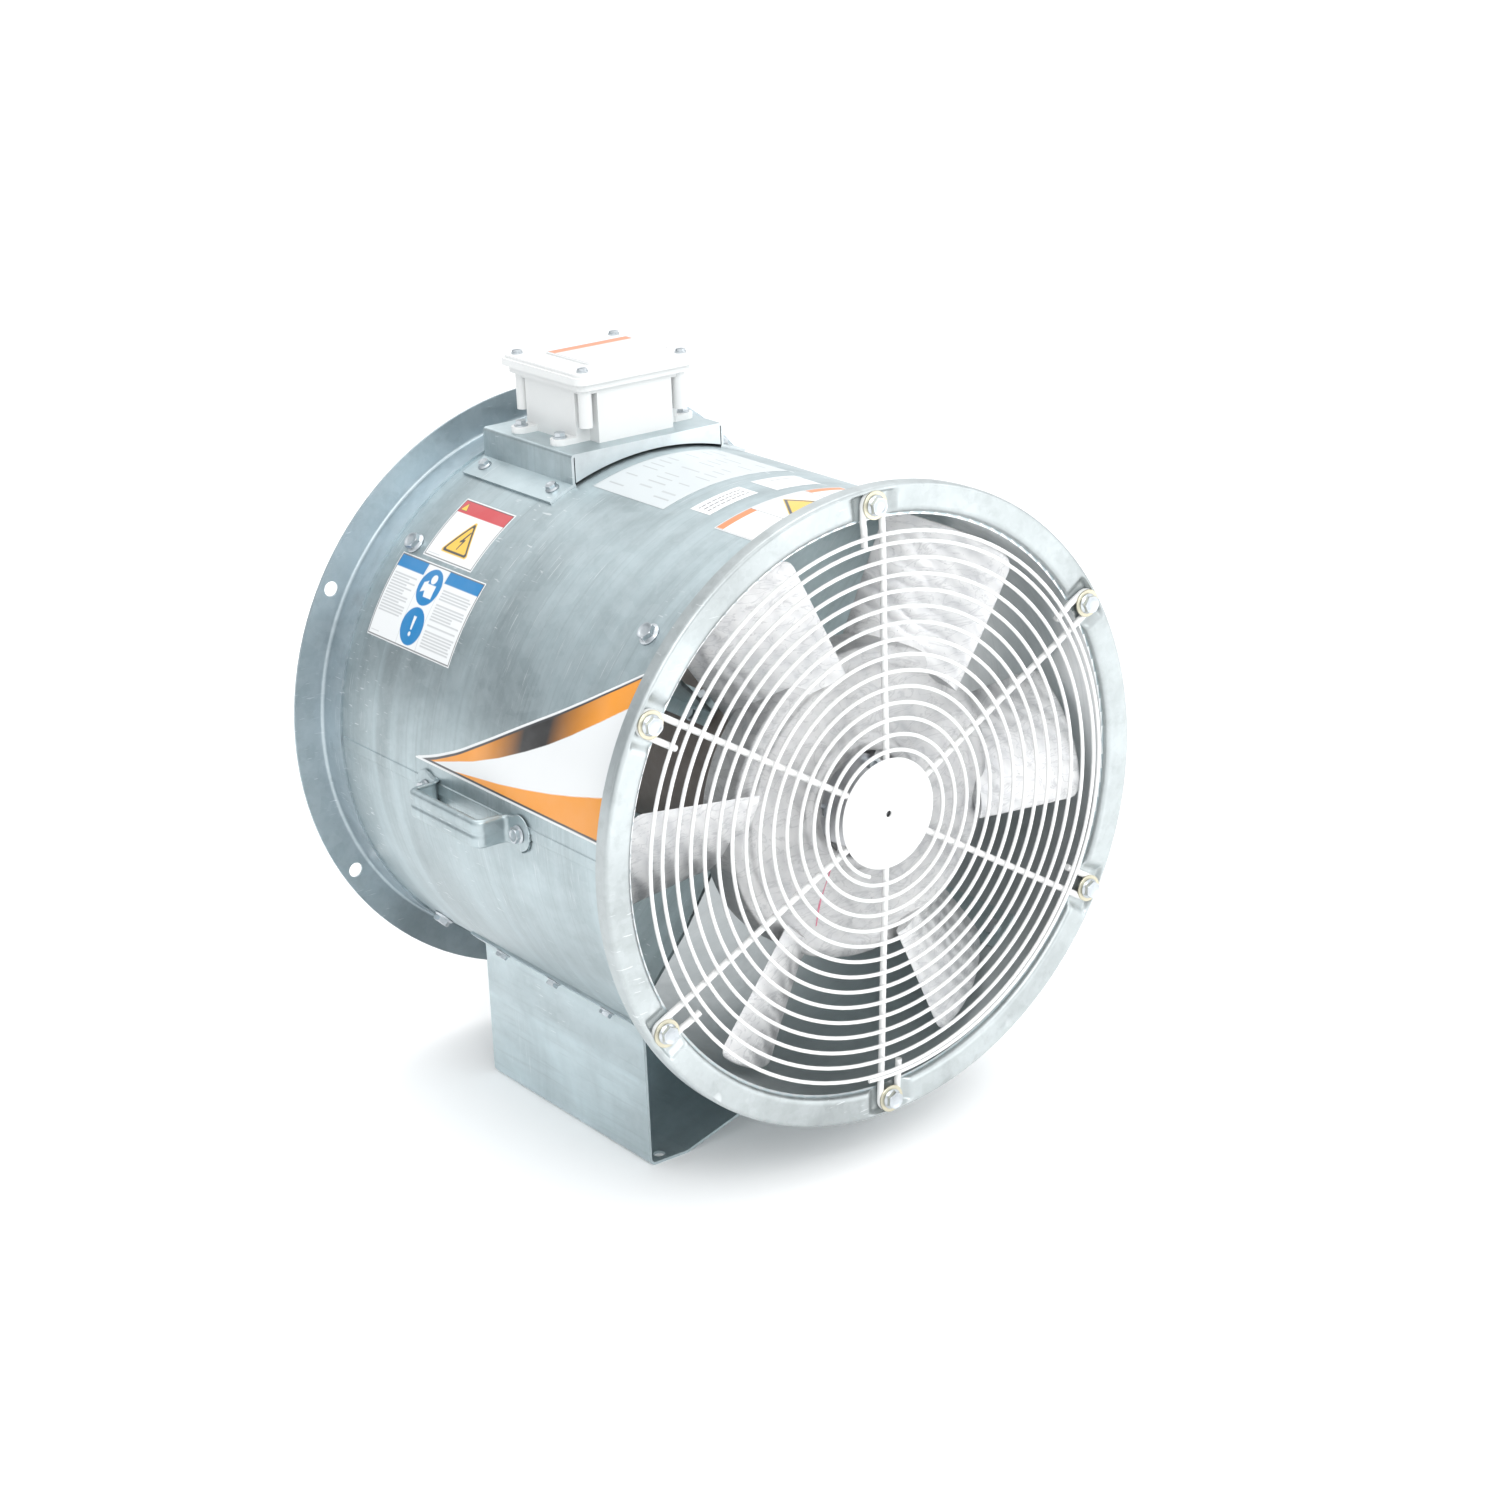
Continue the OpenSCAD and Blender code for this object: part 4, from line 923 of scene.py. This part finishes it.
def pennant_draw(k):
    y = PEN_Y0 + (PEN_Y1 - PEN_Y0) * k.u / k.w
    top = np.vectorize(lambda q: min(174.7, pennant_top(q)))(y)
    a = top + (174.95 - top) * k.v / k.h
    mm = math.radians(1) * 230.5
    d_top, d_bot, d_tip = (a - top) * mm, (174.95 - a) * mm, (PEN_Y0 - y)
    slope = 0.86
    edge = np.minimum(np.minimum(d_top * slope, d_bot), d_tip * 0.28)
    # lower edge of the upper band, and upper edge of the lower band
    up = np.interp(y, [31, 39.5, 66.4, 95.9, 121, 148.3, 181.7, 217.4, 279.7], [147.3, 148.5, 153.0, 157.5, 160.9, 164.0, 167.4, 170.4, 174.5])
    lo = np.interp(y, [30.2, 81.2, 111.1, 142.1, 178.6, 216.2, 250.1, 279.7], [165.15, 168.15, 169.66, 170.98, 172.32, 173.33, 174.25, 174.6])
    ink = np.asarray(ORANGE)
    fade = np.clip(1 - np.abs(y - 140) / 76, 0, 1) ** 1.25
    fade = np.clip(fade * 1.30, 0, 1)[..., None]
    band = ink * (1 - fade) + np.asarray((0.02, 0.018, 0.018)) * fade
    sel = np.clip(0.5 - (a - up) * mm / 0.6, 0, 1)[..., None]
    k.c = k.c * (1 - sel) + band * sel
    glow = np.clip((y - 31) / 260, 0, 1)[..., None]
    low = ink * (0.96 + 0.10 * glow)
    sel = np.clip(0.5 - (lo - a) * mm / 0.6, 0, 1)[..., None]
    k.c = k.c * (1 - sel) + low * sel
    k.lay(edge - 3.7, DARK)
    k.lay(edge - 1.9, WHITE)


label("label_pennant", pennant_place, 269.6, 140.6, 0.8, pennant_draw)


# label with a red header and a warning triangle
def red_draw(k):
    k.rect(1.6, 1.6, k.w - 1.6, 14.2, RED)
    k.tri(8.2, 9.0, 2.9, DARK, 0.5)
    k.tri(8.2, 9.0, 2.4, YELLOW, 0.4)
    k.frame(1.2, 0.8, DARK)
    k.tri(37.2, 39.4, 11.6, YELLOW, 2.4)
    k.tri(37.2, 39.4, 10.5, DARK, 2.0)
    k.tri(37.2, 39.4, 8.5, YELLOW, 1.4)
    k.poly([(39.4, 27.5), (40.8, 28.6), (36.9, 38.4), (34.4, 38.6)], DARK)
    k.poly([(34.4, 36.9), (40.2, 35.2), (39.8, 37.4), (34.2, 39.2)], DARK)
    k.poly([(38.2, 36.8), (40.3, 36.2), (37.4, 45.8), (36.2, 45.8)], DARK)
    k.rect(k.w * 0.06, k.h - 4.4, k.w * 0.3, k.h - 3.7, GREY)


label("label_red_header", on_tube(121.8, 136.5, 373.5, 301.0), 72.5, 59.1, 0.5, red_draw)


# label with two blue headers and two blue discs
def blue_draw(k):
    w, h = k.w, k.h
    a, b = w * 0.345, w * 0.585
    k.rect(a, 1.5, a + 0.5, h - 1.5, GREY)
    k.rect(b, 1.5, b + 0.5, h - 1.5, GREY)
    k.rect(1.6, 1.6, a - 1.0, 12.2, BLUE)
    k.rect(b + 1.0, 1.6, w - 1.6, 12.2, BLUE)
    m = (a + b) / 2
    for v in (0.27 * h, 0.735 * h):
        k.disc(m, v, 15.4, BLUE, 0.97)
    k.disc(m + 1.5, 0.17 * h, 4.0, WHITE)
    k.poly([(m - 6.5, 0.235 * h), (m + 8.0, 0.235 * h), (m + 8.6, 0.39 * h), (m - 2.5, 0.39 * h)], WHITE)
    k.poly([(m - 9.6, 0.235 * h), (m - 4.2, 0.20 * h), (m - 4.2, 0.32 * h), (m - 9.6, 0.35 * h)], WHITE)
    k.poly([(m - 2.0, 0.62 * h), (m + 2.0, 0.62 * h), (m + 1.1, 0.775 * h), (m - 1.1, 0.775 * h)], WHITE)
    k.disc(m, 0.825 * h, 1.8, WHITE)
    k.frame(1.0, 0.8, DARK)
    k.lines(4.0, 17, a - 4, h - 20, 2.5, GREY, 3)
    k.lines(b + 4.5, 17, w - 4, h - 6, 2.5, GREY, 5)
    k.rect(4.0, h - 5.2, 16, h - 4.6, GREY)


label("label_blue_header", on_tube(137.4, 155.4, 399.0, 274.0), 125.0, 72.4, 0.55, blue_draw)


# pale data label beside the wiring box
def data_draw(k):
    for i, (u0, u1) in enumerate(((8, 30), (38, 62), (68, 88))):
        for j in range(13):
            if (i * 5 + j * 3) % 7 < 5:
                k.rect(u0, 12 + j * 8.2, u1 - (j * 7 + i * 3) % 9, 13.1 + j * 8.2, (0.36, 0.38, 0.39))
    k.frame(2.2, 0.4, (0.42, 0.44, 0.45))


label("label_data", on_tube(78.2, 108.6, 262.0, 166.5), 95.5, 122.3, 1.0, data_draw, base=(0.56, 0.60, 0.615))


# small white label
def strip_draw(k):
    rnd = random.Random(4)
    for u in (6.0, 11.6, 17.2):
        v = 4.0
        while v < k.h - 5:
            ln = rnd.uniform(2.2, 4.6)
            k.rect(u, v, u + 1.7, min(v + ln, k.h - 3.5), (0.16, 0.16, 0.17))
            v += ln + 1.0


label("label_small", on_tube(94.3, 106.1, 144.4, 119.2), 25.2, 47.5, 0.5, strip_draw)


# three-part label on top, near the inlet
def top_draw(k):
    w, h = k.w, k.h
    a, b = h * 0.295, h * 0.71
    for v0, v1, seed in ((b, h - 1.2, 2), (1.2, a, 6)):
        k.rect(1.2, v0 + 0.6, 9.4, v1 - 0.6, (0.66, 0.20, 0.045))
        u = 14.0
        rnd = random.Random(seed)
        while u < w - 6:
            k.rect(u, v0 + 4, u + 1.0, v1 - 4 - rnd.choice((0, 1, 3, 7)), (0.60, 0.60, 0.61))
            u += 3.1
    k.rect(1.2, a, w - 1.2, a + 0.5, DARK)
    k.rect(1.2, b, w - 1.2, b + 0.5, DARK)
    m = (a + b) / 2

    def side_tri(r, color):
        d = None
        for t in (0, 120, 240):
            e = (k.u - 30.0) * math.cos(R(t)) + (k.v - m) * math.sin(R(t))
            d = e if d is None else np.maximum(d, e)
        k.lay(d - r, color)
    side_tri(11.6, YELLOW)
    side_tri(10.8, DARK)
    side_tri(8.6, YELLOW)
    k.poly([(18.0, m + 1.2), (31.0, m + 3.4), (31.0, m + 0.4)], DARK)
    k.poly([(29.5, m + 3.2), (35.5, m - 3.2), (34.0, m - 4.0), (28.6, m + 1.8)], DARK)
    k.frame(0.8, 0.4, DARK)


label("label_top_warning", on_tube(78.5, 109.0, 98.6, 41.0), 57.2, 121.1, 0.6, top_draw)


# small pale label further round
def mark_draw(k):
    k.rect(7, 10, 9.5, 30, (0.42, 0.43, 0.44))
    k.rect(13, 8, 14.4, 34, (0.62, 0.63, 0.64))
    k.rect(18, 12, 19.2, 31, (0.62, 0.63, 0.64))
    k.frame(1.0, 0.35, (0.55, 0.56, 0.57))


label("label_pale", on_tube(80.4, 91.0, 147.5, 113.5), 34.0, 42.6, 0.6, mark_draw)

# label on the lid of the wiring box
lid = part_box("box_lid")
lid_z = (lid[1][2] - AXIS_Z) * 1000


def lid_place(s, t, z):
    return pt(-39.0 + 78.0 * t, 372.0 - 61.0 * s, lid_z + z)


def lid_draw(k):
    k.rect(0.6, 1.0, 10.6, k.h - 1.0, (0.70, 0.20, 0.07))
    u = 13.0
    rnd = random.Random(8)
    while u < k.w - 5:
        k.rect(u, 4.0, u + 0.9, k.h - 4 - rnd.choice((0, 2, 6, 14)), (0.50, 0.50, 0.51))
        u += 3.2
    k.frame(0.5, 0.5, (0.30, 0.30, 0.31))


label("label_lid", lid_place, 61.0, 78.0, 0.7, lid_draw, base=(0.70, 0.70, 0.70))


# ------------------------------------------------------------- handles -----
def handle(side, name, node):
    """Bent strap with folded edges and a pressed groove along the grip."""
    y_a, y_b = 148.5, 282.5
    leg_a, leg_b, out = 164.0, 267.0, 30.0
    path = []            # (outwards, along, half width, fold, groove)

    def arc(cx, cy, r, t0, t1, n, w0, w1, f0, f1, g0, g1):
        for i in range(n + 1):
            t = R(t0 + (t1 - t0) * i / n)
            u = i / n
            path.append((cx + r * math.cos(t), cy + r * math.sin(t), w0 + (w1 - w0) * u, f0 + (f1 - f0) * u, g0 + (g1 - g0) * u))
    o = 1.15            # middle of the strap
    half = []
    for i in range(13):
        t = i / 12
        y = y_a - 14.3 + 14.3 * t
        half.append((o, y, math.sqrt(max(0.01, 14.3 ** 2 - (y - y_a) ** 2)), 0.0, 0.0))
    for i in range(1, 6):
        u = i / 5
        half.append((o, y_a + 9.5 * u, 14.3 - 3.3 * ease(u), 1.2 * u, 0.0))
    path = half[:]
    arc(o + 5.0, leg_a + 1.15 - 5.0, 5.0, 180, 90, 8, 11.0, 10.6, 1.2, 3.6, 0.0, 0.0)
    for i in range(1, 5):
        path.append((o + 5.0 + (out - o - 5.0 - 8.5) * i / 5, leg_a + 1.15, 10.5, 3.6 + 1.2 * i / 5, 0.25 * i / 5))
    arc(out - 1.15 - 8.0, leg_a + 1.15 + 8.0, 8.0, -90, 0, 12, 10.5, 10.5, 4.8, 5.2, 0.3, 1.0)
    mid = (leg_a + leg_b) / 2 + 0.0
    n = 10
    y0 = path[-1][1]
    for i in range(1, n + 1):
        path.append((out - 1.15, y0 + (mid - y0) * i / n, 10.5, 5.2, 1.0))
    full = path + [(a, 2 * mid - b, w, f, g) for a, b, w, f, g in path[-2::-1]]
    rows = []
    N = len(full)
    for i, (a, b, w, f, g) in enumerate(full):
        p0, p1 = full[max(0, i - 1)], full[min(N - 1, i + 1)]
        tx, ty = p1[0] - p0[0], p1[1] - p0[1]
        ln = math.hypot(tx, ty)
        tx, ty = tx / ln, ty / ln
        nx, ny = ty, -tx                      # towards the outside of the bend
        if i < 14:
            nx, ny = 1.0, 0.0
        if i > N - 15:
            nx, ny = 1.0, 0.0
        sec = []
        rc = min(2.6, f)
        # cross section, from one folded edge to the other
        prof = [(-w + 0.9 * (f > 2), -f), (-w, -f * 0.75), (-w, -rc)]
        prof += [(-w + rc * (1 - math.cos(t)), -rc * (1 - math.sin(t))) for t in (0.4, 0.8, 1.2)]
        prof += [(-w + rc, 0.0), (-w * 0.5, 0.0), (-3.4, 0.0), (-2.4, -0.15 * g), (-1.6, -0.8 * g), (0.0, -1.0 * g)]
        prof += [(-x, d) for x, d in prof[-2::-1]]
        for x, d in prof:
            sec.append((a + nx * d, b + ny * d, x))
        rows.append(sec)
    T = 2.0
    verts, faces = [], []
    m = len(rows[0])
    for sec in rows:
        for a, b, x in sec:
            verts.append(pt(side * (OUT_R + a), b, x))
    for i in range(len(rows) - 1):
        for k in range(m - 1):
            faces.append((i * m + k, i * m + k + 1, (i + 1) * m + k + 1, (i + 1) * m + k))
    o_ = make(name, verts, faces, M["galv"], replaces=(node,), sharp=60)
    sm = o_.modifiers.new("sheet", "SOLIDIFY")
    sm.thickness = T * 0.001
    sm.offset = 0
    return o_


handle(-1, "handle_left_strap", "handle_left")
handle(1, "handle_right_strap", "handle_right")

# ---------------------------------------------------------- motor lead -----
way = [(343, 252), (343, 210), (343, 172), (338, 152), (326, 136), (308, 124), (295, 112), (290, 97), (290, 85)]


def smooth_path(p, n=8):
    q = []
    for i in range(len(p) - 1):
        a, b, c, d = p[max(0, i - 1)], p[i], p[i + 1], p[min(len(p) - 1, i + 2)]
        for k in range(n):
            t = k / n
            q.append(tuple(0.5 * (2 * b[j] + (c[j] - a[j]) * t + (2 * a[j] - 5 * b[j] + 4 * c[j] - d[j]) * t * t + (3 * b[j] - a[j] - 3 * c[j] + d[j]) * t ** 3) for j in range(len(b))))
    q.append(p[-1])
    return q


ps = [pt(-8, y, z) for y, z in smooth_path(way)]
make("motor_lead_jacket", *tube_mesh(ps, 0.0054, 20), M["jacket"], replaces=("motor_lead",))

# ---------------------------------------------------------- lock seam ------
seam = []
for y in (6.0, 6.6, 30.4, 40, 120, 200, 300, 400, 414.6):
    ring = []
    w, h = 4.6, 0.75
    for x, z in ((-w - 0.5, -0.3), (-w - 0.3, 0.15), (-w + 0.4, h), (w - 0.4, h), (w + 0.3, 0.15), (w + 0.5, -0.3)):
        ring.append(pol(OUT_R + z + (2.0 if y < 30.2 else 0) * 0, 179.2 + math.degrees(x / OUT_R), y))
    seam.append(ring)
make("housing_lock_seam", *ring_stack(seam[2:]), M["galv"])

# ---------------------------------------------------------- inlet ring -----
def step01(x):
    x = min(1.0, max(0.0, x))
    return x * x * (3 - 2 * x)


def ring_section(a):
    """Pressed sheet section at polar angle a: hem, face, bend and collar, with a soft pocket round each guard bolt."""
    off = abs((a - 30 + 30) % 60 - 30)
    dip = 1 - step01((off - 3.35) / 2.1)

    def low(r, y, full):
        k = dip * step01((250.9 - r) / 3.2)
        return r, y * (1 - k) + full * k
    pts = [(253.7, 13.0), (253.7, 8.0), (253.7, 3.0)]
    for i in range(1, 7):
        t = R(15 * i)
        pts.append((250.7 + 3 * math.cos(t), 3 - 3 * math.sin(t)))
    for r in (250.1, 249.4, 248.6, 247.8, 247.0, 244, 240.6, 238, 236.4):
        pts.append(low(r, 0.0, 5.0))
    for i in range(0, 7):
        t = R(90 + 15 * i)
        pts.append(low(235.5 + 5 * math.cos(t), 5 - 5 * math.sin(t), 5.0))
    pts += [(230.5, 18.0), (230.5, 30.0), (232.4, 30.0), (232.4, 14.0), (232.4, 7.2)]
    for i in range(0, 7):
        t = R(180 - 15 * i)
        pts.append(low(235.5 + 3.1 * math.cos(t), 5 - 3.1 * math.sin(t), 6.9))
    for r in (238, 240.6, 244, 247.0, 247.8, 248.6, 249.4, 250.1):
        pts.append(low(r, 1.9, 6.9))
    for i in range(0, 5):
        t = R(90 - 22.5 * i)
        pts.append((250.7 + 1.1 * math.cos(t), 3 - 1.1 * math.sin(t)))
    pts += [(251.8, 8.0), (251.8, 13.0)]
    return pts


rings = []
for k in range(6):
    c = 30 + 60 * k
    for d in [-30 + 2.4 * i for i in range(10)] + [-6 + 0.4 * i for i in range(31)] + [8.4 + 2.4 * i for i in range(9)]:
        rings.append([pol(r, c + d, y) for r, y in ring_section(c + d)])
n_s = len(rings[0])
faces = []
for i in range(len(rings)):
    j = (i + 1) % len(rings)
    for q in range(n_s):
        q2 = (q + 1) % n_s
        faces.append((i * n_s + q, i * n_s + q2, j * n_s + q2, j * n_s + q))
make("inlet_ring_pressed", [v for r_ in rings for v in r_], faces, M["galv_ring"], replaces=("inlet_ring",), sharp=50)

# ------------------------------------------------- marker line on the hub ---
mk = Tree("marker_ink")
mk.set(Base_Color=mk.mix(mk.span(mk.noise(160, 3), 0.2, 1.0, 0.35, 0.65), (0.62, 0.30, 0.36), (0.56, 0.10, 0.19)), Roughness=0.5)
line = []
for i in range(15):
    u = i / 14
    x, z = -31.0 - 19.0 * u + 1.2 * math.sin(7 * u), -34.0 - 54.0 * u
    y_f = 23.32
    w = 0.75 + 0.25 * math.sin(11 * u)
    line.append([pt(x - w, y_f, z), pt(x + w, y_f, z + 0.3), pt(x + w, 23.6, z + 0.3), pt(x - w, 23.6, z)])
make("hub_marker_line", *ring_stack(line), mk.m, body="rotor")

# --------------------------------------------------------------- stage -----
def stage_mesh(name, verts, faces, m):
    me = bpy.data.meshes.new(name)
    me.from_pydata([tuple(v) for v in verts], [], faces)
    me.materials.append(m)
    o = bpy.data.objects.new(name, me)
    bpy.context.scene.collection.objects.link(o)
    for p in me.polygons:
        p.use_smooth = True
    return o


fl = Tree("floor_paper")
fl.set(Base_Color=fl.mix(fl.span(fl.noise(2.0, 2), 0, 1, 0.3, 0.7), (0.95, 0.95, 0.95), (0.965, 0.965, 0.965)), Roughness=0.9, Specular_IOR_Level=0.1,
       Emission_Color=(1.0, 1.0, 1.0), Emission_Strength=0.07)
S = 14.0
stage_mesh("floor", [(-S, -S, 0), (S, -S, 0), (S, S, 0), (-S, S, 0)], [(0, 1, 2, 3)], fl.m)

world = bpy.data.worlds.new("studio")
bpy.context.scene.world = world
world.use_nodes = True
wt = world.node_tree
bg = wt.nodes["Background"]
wco = wt.nodes.new("ShaderNodeTexCoord")
wsep = wt.nodes.new("ShaderNodeSeparateXYZ")
wt.links.new(wco.outputs["Generated"], wsep.inputs[0])


def world_ramp(sock, stops):
    n = wt.nodes.new("ShaderNodeValToRGB")
    e = n.color_ramp.elements
    while len(e) < len(stops):
        e.new(0.5)
    for k, (q, c) in zip(e, stops):
        k.position = q
        k.color = (*c, 1)
    wt.links.new(sock, n.inputs[0])
    return n.outputs[0]


# bright above, softer round the horizon, dim behind on the left
high = world_ramp(wsep.outputs[2], [(0.0, (0.62, 0.64, 0.65)), (0.40, (0.86, 0.87, 0.88)), (1.0, (1.0, 1.0, 1.0))])
dot = wt.nodes.new("ShaderNodeVectorMath")
dot.operation = "DOT_PRODUCT"
dot.inputs[1].default_value = (-0.80, 0.60, -0.12)
wt.links.new(wco.outputs["Generated"], dot.inputs[0])
side = world_ramp(dot.outputs["Value"], [(0.30, (1.0, 1.0, 1.0)), (0.70, (0.66, 0.68, 0.69)), (0.95, (0.30, 0.325, 0.34))])
wm = wt.nodes.new("ShaderNodeMix")
wm.data_type = "RGBA"
wm.blend_type = "MULTIPLY"
wm.inputs[0].default_value = 1.0
wt.links.new(high, wm.inputs[6])
wt.links.new(side, wm.inputs[7])
wt.links.new(wm.outputs[2], bg.inputs[0])
bg.inputs[1].default_value = 1.42
bpy.context.scene.view_settings.view_transform = "Standard"


def area(name, loc, target, size, power, color=(1, 1, 1)):
    d = bpy.data.lights.new(name, "AREA")
    d.shape = "RECTANGLE"
    d.size, d.size_y = size
    d.energy = power
    d.color = color
    o = bpy.data.objects.new(name, d)
    bpy.context.scene.collection.objects.link(o)
    o.location = loc
    o.rotation_euler = (Vector(target) - Vector(loc)).to_track_quat("-Z", "Y").to_euler()
    return o


area("key", (-1.0, -2.6, 2.4), (0, 0, 0.3), (1.8, 1.6), 34)
area("top", (0.3, 0.4, 3.0), (0, 0, 0.3), (2.4, 1.2), 18)
area("fill", (2.6, -2.2, 1.3), (0, 0, 0.3), (1.8, 1.8), 19)
area("low", (0.75, -1.7, 0.22), (-0.12, 0.05, 0.48), (0.8, 0.5), 2.5)
